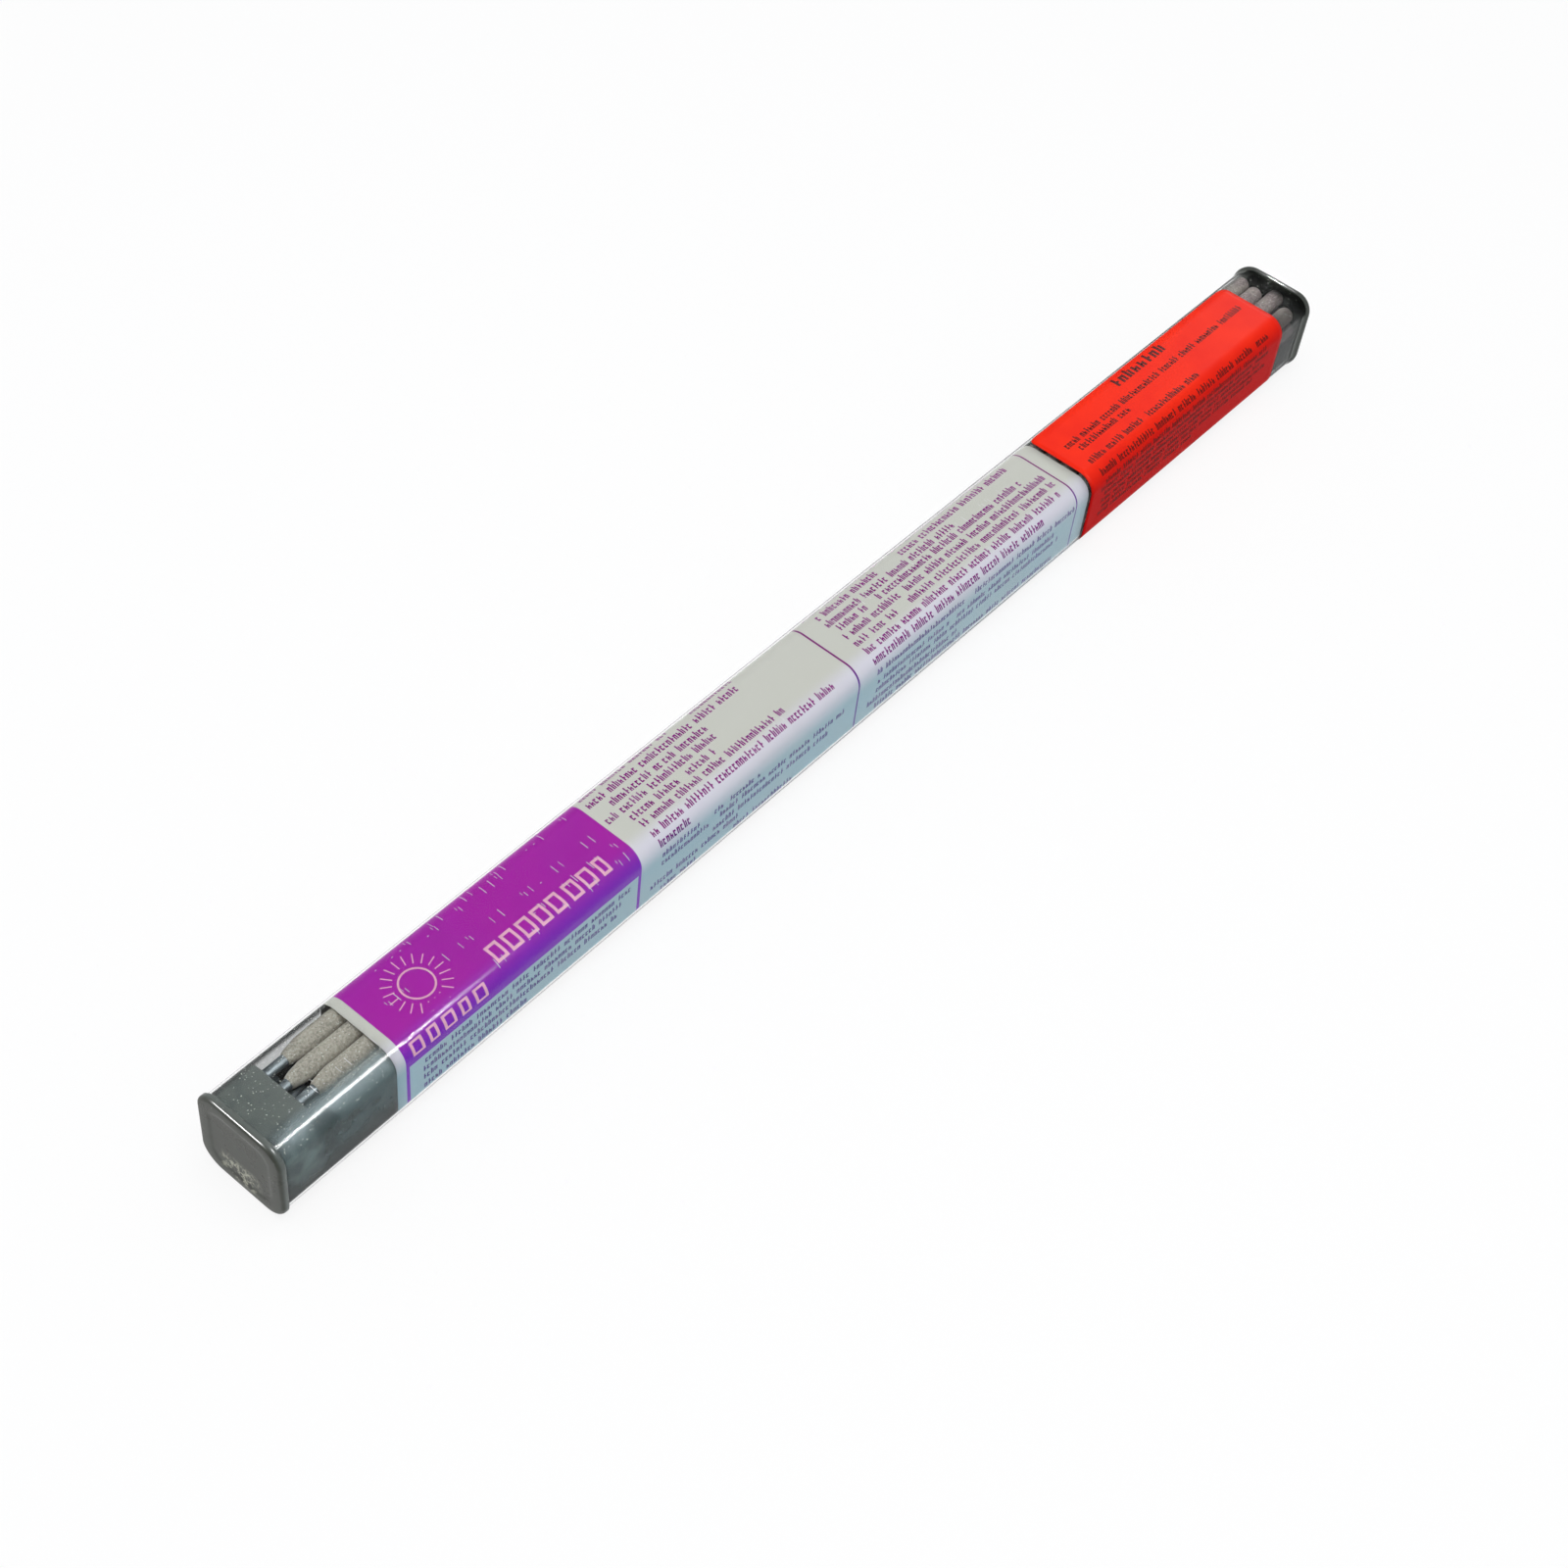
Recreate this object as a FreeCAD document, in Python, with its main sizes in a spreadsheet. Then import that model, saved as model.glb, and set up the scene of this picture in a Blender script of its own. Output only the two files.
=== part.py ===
import FreeCAD, Part
import math
import os

import Sketcher
from FreeCAD import Vector

# A tube pack of stick welding electrodes: a clear square tube with one moulded closed end, a soft plug
# pushed into its open end, a printed paper sleeve against the inside of its wall, a sticker round its
# outside, and a bundle of flux-coated electrodes, each a core wire in its own covering.
# +X runs along the tube from the plug to the closed end, +Z is up, and the tube lies on Z = 0.

doc = FreeCAD.newDocument("ElectrodePack")

# Driving dimensions, in millimetres and degrees
SIZES = {
    # electrodes
    "wire_diameter": 2.4,
    "coating_diameter": 4.5,
    "coating_bond": 0.01,
    "electrode_length": 350.0,
    "bare_length": 12.8,
    "bare_step": 0.5,
    "taper_length": 2.6,
    "tip_recess": 0.25,
    # how they lie in the sleeve
    "column_spread": 0.22,
    "rod_clearance": 0.015,
    "tail_gap": 1.7,
    "tail_step": 1.05,
    # paper sleeve inside the tube
    "paper_thickness": 0.12,
    "paper_slip": 0.05,
    "sleeve_start": 29.25,
    "sleeve_end_gap": 99.55,
    "seam_gap": 1.2,
    # clear tube
    "tube_wall": 0.4,
    "tube_corner": 4.84,
    "tube_spare": 8.2,
    "end_wall": 1.2,
    "end_round": 3.0,
    "bead_length": 4.2,
    "bead_lead": 0.45,
    # plug in the open end
    "lip_overhang": 0.5,
    "lip_thickness": 1.8,
    "lip_front_edge": 0.5,
    "plug_clearance": 0.05,
    "plug_face": 1.2,
    "skirt_depth": 10.2,
    "skirt_wall": 0.8,
    "skirt_lead": 0.35,
    "dish_rim": 2.6,
    "dish_depth": 0.45,
    "dish_slope": 0.35,
    # sticker outside the tube
    "film_thickness": 0.1,
    "film_glue": 0.02,
    "sticker_end_gap": 10.6,
    "sticker_length": 82.8,
    "sticker_corner": 2.4,
    "sticker_top_angle": 56.0,
    "sticker_foot_angle": 45.0,
}

sheet = doc.addObject("Spreadsheet::Sheet", "Sizes")
for row, (alias, value) in enumerate(SIZES.items(), start=1):
    sheet.set("A%d" % row, alias)
    sheet.set("B%d" % row, str(value))
    sheet.setAlias("B%d" % row, alias)
workings = doc.addObject("Spreadsheet::Sheet", "Workings")
doc.recompute()

# The bundle sets every width: four columns of electrodes, each row half a column aside of the last
ROW_COLUMNS = 4
PITCH = "(coating_diameter + column_spread)"
ROD_REACH = "(coating_diameter / 2 + rod_clearance)"
BUNDLE_WIDTH = "(%g * %s + 2 * %s)" % (ROW_COLUMNS - 0.5, PITCH, ROD_REACH)
SLEEVE_WIDTH = "(%s + 2 * paper_thickness)" % BUNDLE_WIDTH
TUBE_INSIDE = "(%s + 2 * paper_slip)" % SLEEVE_WIDTH
TUBE_WIDTH = "(%s + 2 * tube_wall)" % TUBE_INSIDE
LIP_WIDTH = "(%s + 2 * lip_overhang)" % TUBE_WIDTH

# The round corners are all struck from the same four centres
CORNER_CENTRE = "(%s / 2 - tube_corner)" % TUBE_WIDTH
INSIDE_CORNER = "(tube_corner - tube_wall)"
SLEEVE_CORNER = "(%s - paper_slip)" % INSIDE_CORNER
BUNDLE_CORNER = "(%s - paper_thickness)" % SLEEVE_CORNER

# Lengths follow the electrodes: the tube is a little longer, and the paper and the sticker end short of its end
TUBE_LENGTH = "(electrode_length + tube_spare)"
SLEEVE_LENGTH = "(%s - sleeve_start - sleeve_end_gap)" % TUBE_LENGTH
BEAD_ROOT = "(%s - bead_length)" % TUBE_LENGTH
STICKER_START = "(%s - sticker_end_gap - sticker_length)" % BEAD_ROOT

# The open end and the centre line of the tube, in the pack's own frame
OPEN_END = "(lip_thickness - (%s + lip_thickness) / 2)" % TUBE_LENGTH
CENTRE_HEIGHT = "(%s / 2)" % LIP_WIDTH


def formula(text):
    """Turns the plain size names of a text into references to the sheet's cells."""
    words = sorted(SIZES, key=len, reverse=True)
    for number, word in enumerate(words):
        text = text.replace(word, "@%d@" % number)
    for number, word in enumerate(words):
        text = text.replace("@%d@" % number, "Sizes." + word)
    return text


def bind(thing, prop, text):
    thing.setExpression(prop, formula(text))


def worth(text):
    """The present value of a formula, so that a sketch starts at its final shape."""
    workings.set("A1", "=" + formula(text))
    workings.recompute()
    return float(workings.get("A1"))


def new_body(name):
    body = doc.addObject("PartDesign::Body", name)
    body.Label = name
    return body


def place(body, along="0", across="0", up="0", turn="0 * 1deg"):
    """Puts a body, modelled from the open end and the centre line, in the pack's own frame."""
    bind(body, "Placement.Base.x", "%s + %s" % (OPEN_END, along))
    bind(body, "Placement.Base.y", across)
    bind(body, "Placement.Base.z", "%s + %s" % (CENTRE_HEIGHT, up))
    bind(body, "Placement.Rotation.Angle", turn)


def new_sketch(body, name, plane, station="0"):
    sketch = body.newObject("Sketcher::SketchObject", name)
    support = [feature for feature in body.Origin.OriginFeatures if feature.Role == plane][0]
    sketch.AttachmentSupport = (support, [""])
    sketch.MapMode = "FlatFace"
    bind(sketch, "AttachmentOffset.Base.z", station)
    return sketch


def rounded_square(sketch, width, corner):
    """A closed square with equal round corners, centred on the sketch's origin."""
    half = worth(width) / 2
    radius = worth(corner)
    flat = half - radius
    arcs = []
    for across, up, start in ((1, 1, 0), (-1, 1, 90), (-1, -1, 180), (1, -1, 270)):
        circle = Part.Circle(Vector(across * flat, up * flat, 0), Vector(0, 0, 1), radius)
        arc = Part.ArcOfCircle(circle, math.radians(start), math.radians(start + 90))
        arcs.append(sketch.addGeometry(arc, False))
    side_ends = (
        (Vector(flat, half, 0), Vector(-flat, half, 0)),
        (Vector(-half, flat, 0), Vector(-half, -flat, 0)),
        (Vector(-flat, -half, 0), Vector(flat, -half, 0)),
        (Vector(half, -flat, 0), Vector(half, flat, 0)),
    )
    sides = [sketch.addGeometry(Part.LineSegment(first, last), False) for first, last in side_ends]
    for turn in range(4):
        following = arcs[(turn + 1) % 4]
        sketch.addConstraint(Sketcher.Constraint("Tangent", arcs[turn], 2, sides[turn], 1))
        sketch.addConstraint(Sketcher.Constraint("Tangent", sides[turn], 2, following, 1))
    for turn in range(1, 4):
        sketch.addConstraint(Sketcher.Constraint("Equal", arcs[0], arcs[turn]))
    sketch.addConstraint(Sketcher.Constraint("Horizontal", sides[0]))
    sketch.addConstraint(Sketcher.Constraint("Vertical", sides[1]))
    sketch.addConstraint(Sketcher.Constraint("Symmetric", arcs[0], 3, arcs[2], 3, -1, 1))
    wide = sketch.addConstraint(Sketcher.Constraint("DistanceX", sides[1], 1, sides[3], 1, 2 * half))
    high = sketch.addConstraint(Sketcher.Constraint("DistanceY", sides[2], 1, sides[0], 1, 2 * half))
    bend = sketch.addConstraint(Sketcher.Constraint("Radius", arcs[0], radius))
    bind(sketch, "Constraints[%d]" % wide, width)
    bind(sketch, "Constraints[%d]" % high, width)
    bind(sketch, "Constraints[%d]" % bend, corner)


def outline(sketch, points):
    """A closed outline of straight lines, each corner held at a pair of formulas."""
    corners = [Vector(worth(x), worth(y), 0) for x, y in points]
    count = len(corners)
    lines = []
    for turn in range(count):
        line = Part.LineSegment(corners[turn], corners[(turn + 1) % count])
        lines.append(sketch.addGeometry(line, False))
    for turn in range(count):
        joined = Sketcher.Constraint("Coincident", lines[turn], 2, lines[(turn + 1) % count], 1)
        sketch.addConstraint(joined)
    for turn, (x, y) in enumerate(points):
        for kind, text, value in (("DistanceX", x, corners[turn].x), ("DistanceY", y, corners[turn].y)):
            index = sketch.addConstraint(Sketcher.Constraint(kind, -1, 1, lines[turn], 1, value))
            bind(sketch, "Constraints[%d]" % index, text)


def corner_waste(sketch, x, y, out_x, out_y, radius):
    """What lies outside a rounded corner at (x, y), whose edges run back from there against out_x and out_y."""
    steps = ((0, -1), (1, -1), (1, 1), (-1, 1), (-1, 0))
    texts = []
    for across, up in steps:
        texts.append(("%s + %d * %s" % (x, out_x * across, radius), "%s + %d * %s" % (y, out_y * up, radius)))
    points = [Vector(worth(across), worth(up), 0) for across, up in texts]
    lines = [sketch.addGeometry(Part.LineSegment(points[turn], points[turn + 1]), False) for turn in range(4)]
    centre = Vector(points[4].x, points[0].y, 0)
    crown = centre + (points[0] + points[4] - centre * 2).normalize() * worth(radius)
    arc = sketch.addGeometry(Part.Arc(points[4], crown, points[0]), False)
    for turn in range(3):
        sketch.addConstraint(Sketcher.Constraint("Coincident", lines[turn], 2, lines[turn + 1], 1))
    # An arc runs anticlockwise, so its first end is at the last line or at the first one
    ends = (2, 1) if out_x * out_y < 0 else (1, 2)
    sketch.addConstraint(Sketcher.Constraint("Coincident", lines[3], 2, arc, ends[0]))
    sketch.addConstraint(Sketcher.Constraint("Coincident", lines[0], 1, arc, ends[1]))
    held = [(line, 1) for line in lines] + [(lines[3], 2)]
    for (line, end), (across, up), point in zip(held, texts, points):
        for kind, text, value in (("DistanceX", across, point.x), ("DistanceY", up, point.y)):
            index = sketch.addConstraint(Sketcher.Constraint(kind, -1, 1, line, end, value))
            bind(sketch, "Constraints[%d]" % index, text)
    bend = sketch.addConstraint(Sketcher.Constraint("Radius", arc, worth(radius)))
    bind(sketch, "Constraints[%d]" % bend, radius)


def settle(body, feature, grows):
    """Recomputes, and stops the build where a feature has added or cut nothing."""
    before = body.Shape.Volume if not body.Shape.isNull() else 0.0
    doc.recompute()
    change = feature.Shape.Volume - before
    if (change <= 0) == grows:
        raise RuntimeError("%s changed the volume by %.4f" % (feature.Name, change))
    return feature


def pad(body, name, sketch, length, backwards=False):
    feature = body.newObject("PartDesign::Pad", name)
    feature.Profile = sketch
    feature.Reversed = backwards
    bind(feature, "Length", length)
    return settle(body, feature, True)


def pocket(body, name, sketch, length, forwards=False):
    """Cuts against the sketch's normal, or along it where it is told forwards."""
    feature = body.newObject("PartDesign::Pocket", name)
    feature.Profile = sketch
    feature.Reversed = forwards
    bind(feature, "Length", length)
    return settle(body, feature, False)


def revolve(body, name, sketch):
    """A full turn of a sketch about its own horizontal axis."""
    feature = body.newObject("PartDesign::Revolution", name)
    feature.Profile = sketch
    feature.ReferenceAxis = (sketch, ["H_Axis"])
    feature.Angle = 360.0
    return settle(body, feature, True)


def dress(body, kind, name, base, names, prop, text):
    """A Fillet or a Chamfer on named faces or edges."""
    feature = body.newObject("PartDesign::" + kind, name)
    feature.Base = (base, names)
    bind(feature, prop, text)
    doc.recompute()
    return feature


def faces_across(feature, station):
    """Names of the flat faces that lie across the tube at one station along it."""
    found = []
    for index, face in enumerate(feature.Shape.Faces, start=1):
        box = face.BoundBox
        if box.XLength < 1e-6 and abs(box.XMin - worth(station)) < 1e-6:
            found.append("Face%d" % index)
    return found


def edges_across(feature, station, radius):
    """Names of the edges at one station that reach as far from the centre line as the radius says."""
    found = []
    for index, edge in enumerate(feature.Shape.Edges, start=1):
        box = edge.BoundBox
        reach = max(abs(box.YMin), abs(box.YMax), abs(box.ZMin), abs(box.ZMax))
        if box.XLength < 1e-6 and abs(box.XMin - worth(station)) < 1e-6 and reach > worth(radius) - 1e-3:
            found.append("Edge%d" % index)
    return found


def build_tube():
    """Square tube with a moulded closed end: a raised bead, rounded over on to the end wall."""
    body = new_body("clear_tube")
    outside = new_sketch(body, "TubeOutside", "YZ_Plane")
    rounded_square(outside, TUBE_WIDTH, "tube_corner")
    pad(body, "TubeBlock", outside, TUBE_LENGTH)
    bead = new_sketch(body, "BeadOutline", "YZ_Plane", BEAD_ROOT)
    rounded_square(bead, LIP_WIDTH, "tube_corner + lip_overhang")
    beaded = pad(body, "EndBead", bead, "bead_length")
    root = edges_across(beaded, BEAD_ROOT, "%s / 2" % LIP_WIDTH)
    leaded = dress(body, "Chamfer", "BeadLead", beaded, root, "Size", "bead_lead")
    end = faces_across(leaded, TUBE_LENGTH)
    dress(body, "Fillet", "ClosedEndRound", leaded, end, "Radius", "end_round")
    inside = new_sketch(body, "TubeInside", "YZ_Plane")
    rounded_square(inside, TUBE_INSIDE, INSIDE_CORNER)
    pocket(body, "TubeHollow", inside, TUBE_LENGTH + " - end_wall", forwards=True)
    place(body)
    return body


def build_plug():
    """Soft push-in plug: a lip over the tube's rim, a dished face and a hollow skirt inside the tube."""
    body = new_body("end_plug")
    lip = new_sketch(body, "LipOutline", "YZ_Plane")
    rounded_square(lip, LIP_WIDTH, "tube_corner + lip_overhang")
    plate = pad(body, "LipPlate", lip, "lip_thickness", backwards=True)
    front = faces_across(plate, "-lip_thickness")
    dress(body, "Chamfer", "LipFrontEdge", plate, front, "Size", "lip_front_edge")
    skirt_width = "(%s - 2 * plug_clearance)" % TUBE_INSIDE
    skirt_corner = "(%s - plug_clearance)" % INSIDE_CORNER
    skirt = new_sketch(body, "SkirtOutline", "YZ_Plane")
    rounded_square(skirt, skirt_width, skirt_corner)
    stem = pad(body, "SkirtBlock", skirt, "skirt_depth")
    tail = faces_across(stem, "skirt_depth")
    dress(body, "Chamfer", "SkirtLead", stem, tail, "Size", "skirt_lead")
    bore = new_sketch(body, "SkirtHollow", "YZ_Plane", "skirt_depth")
    rounded_square(bore, "%s - 2 * skirt_wall" % skirt_width, "%s - skirt_wall" % skirt_corner)
    pocket(body, "SkirtPocket", bore, "skirt_depth + lip_thickness - plug_face")
    dish = new_sketch(body, "DishOutline", "YZ_Plane", "-lip_thickness")
    rounded_square(dish, "%s - 2 * dish_rim" % TUBE_WIDTH, "tube_corner - dish_rim / 2")
    dished = pocket(body, "FaceDish", dish, "dish_depth", forwards=True)
    floor = faces_across(dished, "dish_depth - lip_thickness")
    dress(body, "Chamfer", "DishSlope", dished, floor, "Size", "dish_slope")
    place(body)
    return body


def build_sleeve():
    """Printed sheet folded into a sleeve against the tube's wall, its two edges meeting underneath."""
    body = new_body("paper_sleeve")
    outside = new_sketch(body, "SleeveOutside", "YZ_Plane")
    rounded_square(outside, SLEEVE_WIDTH, SLEEVE_CORNER)
    pad(body, "SleeveBlock", outside, SLEEVE_LENGTH)
    inside = new_sketch(body, "SleeveInside", "YZ_Plane")
    rounded_square(inside, BUNDLE_WIDTH, BUNDLE_CORNER)
    pocket(body, "SleeveHollow", inside, SLEEVE_LENGTH, forwards=True)
    seam = new_sketch(body, "SeamOutline", "YZ_Plane")
    side = "seam_gap / 2"
    foot = "-" + SLEEVE_WIDTH
    outline(seam, [("-" + side, "0"), ("-" + side, foot), (side, foot), (side, "0")])
    pocket(body, "SeamCut", seam, SLEEVE_LENGTH, forwards=True)
    place(body, along="sleeve_start")
    return body


def build_sticker():
    """Die-cut sticker outside the tube: over the top, round the -Y corner and down that side."""
    body = new_body("orange_sticker")
    glue_width = "(%s + 2 * film_glue)" % TUBE_WIDTH
    glue_corner = "(tube_corner + film_glue)"
    outside = new_sketch(body, "FilmOutside", "YZ_Plane")
    rounded_square(outside, "%s + 2 * film_thickness" % glue_width, "%s + film_thickness" % glue_corner)
    pad(body, "FilmBlock", outside, "sticker_length")
    inside = new_sketch(body, "FilmInside", "YZ_Plane")
    rounded_square(inside, glue_width, glue_corner)
    pocket(body, "FilmHollow", inside, "sticker_length", forwards=True)
    # The sides that stay bare lie between two rays, each from the centre of the corner it cuts
    ray = "2 * " + TUBE_WIDTH
    bare = new_sketch(body, "BareSides", "YZ_Plane")
    outline(
        bare,
        [
            (CORNER_CENTRE, CORNER_CENTRE),
            (
                "%s + %s * cos(sticker_top_angle * 1deg)" % (CORNER_CENTRE, ray),
                "%s + %s * sin(sticker_top_angle * 1deg)" % (CORNER_CENTRE, ray),
            ),
            (ray, "-" + ray),
            (
                "-%s - %s * cos(sticker_foot_angle * 1deg)" % (CORNER_CENTRE, ray),
                "-%s - %s * sin(sticker_foot_angle * 1deg)" % (CORNER_CENTRE, ray),
            ),
            ("-" + CORNER_CENTRE, "-" + CORNER_CENTRE),
        ],
    )
    pocket(body, "FilmTrim", bare, "sticker_length", forwards=True)
    film_corner = "(%s + film_thickness)" % glue_corner
    top_edge = "(%s + %s * cos(sticker_top_angle * 1deg))" % (CORNER_CENTRE, film_corner)
    foot_edge = "(-%s - %s * sin(sticker_foot_angle * 1deg))" % (CORNER_CENTRE, film_corner)
    die_cuts = (("TopCorner", "XY_Plane", top_edge, 1), ("FootCorner", "XZ_Plane", foot_edge, -1))
    for name, plane, edge, outward in die_cuts:
        waste = new_sketch(body, name + "Waste", plane)
        corner_waste(waste, "0", edge, -1, outward, "sticker_corner")
        corner_waste(waste, "sticker_length", edge, 1, outward, "sticker_corner")
        pocket(body, name + "Cut", waste, TUBE_WIDTH, forwards=True)
    place(body, along=STICKER_START)
    return body


def build_wire(name):
    """Cut length of core wire, laid along X."""
    body = new_body(name)
    section = new_sketch(body, "WireSection", "YZ_Plane")
    circle = Part.Circle(Vector(0, 0, 0), Vector(0, 0, 1), worth("wire_diameter") / 2)
    index = section.addGeometry(circle, False)
    section.addConstraint(Sketcher.Constraint("Coincident", index, 3, -1, 1))
    across = section.addConstraint(Sketcher.Constraint("Diameter", index, worth("wire_diameter")))
    bind(section, "Constraints[%d]" % across, "wire_diameter")
    pad(body, "Wire", section, "electrode_length - tip_recess")
    return body


def build_coating(name, bare):
    """Flux covering: brushed to a taper at the grip end and cut square at the striking end."""
    body = new_body(name)
    bore = "wire_diameter / 2 + coating_bond"
    profile = new_sketch(body, "CoatingProfile", "XY_Plane")
    outline(
        profile,
        [
            (bare, bore),
            (bare + " + taper_length", "coating_diameter / 2"),
            ("electrode_length", "coating_diameter / 2"),
            ("electrode_length", bore),
        ],
    )
    revolve(body, "Covering", profile)
    return body


def corner_room(beyond):
    """How far past a corner's centre an electrode fits, when it lies this far past it the other way."""
    return "sqrt((%s - %s) ^ 2 - max(0; %s - %s) ^ 2)" % (BUNDLE_CORNER, ROD_REACH, beyond, CORNER_CENTRE)


def electrode_places():
    """Where each electrode lies: its steps along, its near and far place across, and its height."""
    wall_column = "(%s / 2 - %s)" % (BUNDLE_WIDTH, ROD_REACH)
    touching = "(coating_diameter + rod_clearance)"
    rise = "sqrt(%s ^ 2 - (%s / 2) ^ 2)" % (touching, PITCH)
    floor = "(-%s - %s)" % (CORNER_CENTRE, corner_room("1.25 * " + PITCH))
    places = []
    for row in range(ROW_COLUMNS):
        level = "%s + %d * %s" % (floor, row, rise)
        # Rows lean on the -Y wall and the +Y wall by turns, and the lowest row has no room in its corner
        lean = 0.0 if row % 2 else 0.5
        for column in range(ROW_COLUMNS):
            if row == 0 and column == ROW_COLUMNS - 1:
                continue
            across = "-%s + %g * %s" % (wall_column, column + lean, PITCH)
            steps = (row + 3 * column + 3) % 5
            places.append((steps, across, across, level))
    # The uppermost electrodes lie across those below, fanned from close together to spread apart
    level = "%s + %d * %s + %s" % (floor, ROW_COLUMNS - 1, rise, touching)
    side = "(%s + %s)" % (CORNER_CENTRE, corner_room("(%s)" % level))
    for column, steps in enumerate((0, 4, 1, 2)):
        near = "-%s + %d * (coating_diameter + 2 * rod_clearance)" % (side, column)
        far = "%s - %d * %s" % (side, ROW_COLUMNS - 1 - column, PITCH) if column else near
        places.append((steps, near, far, level))
    return places


def build_electrodes():
    """The bundle: every electrode is a core wire and its covering."""
    pieces = []
    for index, (steps, near, far, level) in enumerate(electrode_places(), start=1):
        along = "plug_face - lip_thickness + tail_gap + %d * tail_step" % steps
        bare = "(bare_length + %d * bare_step)" % (index * 3 % 4)
        turn = "asin((%s - (%s)) / electrode_length)" % (far, near)
        wire = build_wire("core_wire_%02d" % index)
        coating = build_coating("flux_coating_%02d" % index, bare)
        for body in (wire, coating):
            place(body, along, near, level, turn)
            pieces.append(body)
    return pieces


def check_and_write(pieces):
    doc.recompute()
    for thing in doc.Objects:
        if "Invalid" in thing.State or "Error" in thing.State:
            raise RuntimeError("%s failed: %s" % (thing.Name, thing.State))
    os.makedirs("parts", exist_ok=True)
    for body in pieces:
        shape = body.Shape
        if shape.isNull() or not shape.isValid() or not shape.Solids:
            raise RuntimeError("%s has no valid solid" % body.Label)
        shape.exportStep("parts/%s.step" % body.Label)
        box = shape.BoundBox
        ends = (body.Label, shape.Volume, box.XMin, box.XMax, box.YMin, box.YMax, box.ZMin, box.ZMax)
        print("%-18s %9.2f mm3  x %.2f..%.2f  y %.2f..%.2f  z %.2f..%.2f" % ends)


check_and_write([build_tube(), build_plug(), build_sleeve(), build_sticker()] + build_electrodes())
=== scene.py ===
# A clear square tube of stick welding electrodes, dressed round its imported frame.
import math
import random

import bpy
from mathutils import Matrix, Vector, noise


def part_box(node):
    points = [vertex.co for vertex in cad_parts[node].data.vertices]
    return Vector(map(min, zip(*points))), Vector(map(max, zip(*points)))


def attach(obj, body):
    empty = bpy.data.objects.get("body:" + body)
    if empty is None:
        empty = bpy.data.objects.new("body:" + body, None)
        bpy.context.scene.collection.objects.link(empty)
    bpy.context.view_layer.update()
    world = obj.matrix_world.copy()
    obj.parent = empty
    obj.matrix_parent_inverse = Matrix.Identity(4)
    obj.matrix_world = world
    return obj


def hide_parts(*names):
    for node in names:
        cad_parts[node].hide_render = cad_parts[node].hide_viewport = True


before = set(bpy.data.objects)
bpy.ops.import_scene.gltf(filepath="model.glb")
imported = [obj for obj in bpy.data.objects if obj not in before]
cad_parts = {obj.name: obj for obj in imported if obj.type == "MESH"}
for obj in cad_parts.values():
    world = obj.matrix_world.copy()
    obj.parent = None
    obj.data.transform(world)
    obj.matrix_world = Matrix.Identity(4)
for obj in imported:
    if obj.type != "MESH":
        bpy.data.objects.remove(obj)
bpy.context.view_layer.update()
mm = 0.001

# What the frame says: the tube's open end and axis, and how wide each layer is
tubeLow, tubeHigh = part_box("clear_tube")
plugLow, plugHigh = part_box("end_plug")
sleeveLow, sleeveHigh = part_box("paper_sleeve")
_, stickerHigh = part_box("orange_sticker")
openEnd = tubeLow.x
axisHeight = (tubeLow.z + tubeHigh.z) / 2
beadHalf = (tubeHigh.y - tubeLow.y) / 2
sleeveHalf = (sleeveHigh.y - sleeveLow.y) / 2

tube = {"wall": 0.4 * mm, "slip": 0.05 * mm, "corner": 4.84 * mm, "endWall": 1.2 * mm, "endRound": 3.0 * mm,
        "innerRound": 1.8 * mm, "beadLength": 4.2 * mm, "beadLead": 1.3 * mm, "beadSwell": 1.2 * mm,
        "beadSteps": 6, "firstRing": 60 * mm, "leastCorner": 0.6 * mm, "footLift": 0.9 * mm}
tubeHalf = sleeveHalf + tube["slip"] + tube["wall"]
insideHalf = sleeveHalf + tube["slip"]
sleeveCorner = tube["corner"] - tube["wall"] - tube["slip"]


def addNode(tree, kind, wires=None, **settings):
    # wires maps an input's name or number to a value or to another node's output
    node = tree.nodes.new(kind)
    for key, value in settings.items():
        setattr(node, key, value)
    for key, value in (wires or {}).items():
        feed(tree, value, node.inputs[key])
    return node


def feed(tree, value, socket):
    if isinstance(value, bpy.types.NodeSocket):
        tree.links.new(value, socket)
    else:
        socket.default_value = value


def calc(tree, operation, *values):
    node = addNode(tree, "ShaderNodeMath", operation=operation)
    for socket, value in zip(node.inputs, values):
        feed(tree, value, socket)
    return node.outputs[0]


def held(tree, value, low, high):
    return calc(tree, "MINIMUM", calc(tree, "MAXIMUM", value, low), high)


def parted(tree, vector):
    return addNode(tree, "ShaderNodeSeparateXYZ", {0: vector}).outputs


def joined(tree, x=0.0, y=0.0, z=0.0):
    return addNode(tree, "ShaderNodeCombineXYZ", {0: x, 1: y, 2: z}).outputs[0]


def placeOf(tree):
    return addNode(tree, "GeometryNodeInputPosition").outputs[0]


def newGroup(name, kind, inputs, outputs):
    tree = bpy.data.node_groups.new(name, kind)
    for label, socketType in inputs:
        tree.interface.new_socket(label, in_out="INPUT", socket_type=socketType)
    for label, socketType in outputs:
        tree.interface.new_socket(label, in_out="OUTPUT", socket_type=socketType)
    given = tree.nodes.new("NodeGroupInput")
    made = tree.nodes.new("NodeGroupOutput")
    return tree, given.outputs, made.inputs


def newTree(name, numbers, counts=(), dressed=True):
    # A geometry tree: its sizes and counts are inputs, and a material too if it ends in a finished piece
    inputs = [("Geometry", "NodeSocketGeometry")] + [(label, "NodeSocketFloat") for label in numbers]
    inputs += [(label, "NodeSocketInt") for label in counts]
    if dressed:
        inputs.append(("Material", "NodeSocketMaterial"))
    return newGroup(name, "GeometryNodeTree", inputs, [("Geometry", "NodeSocketGeometry")])


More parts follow.
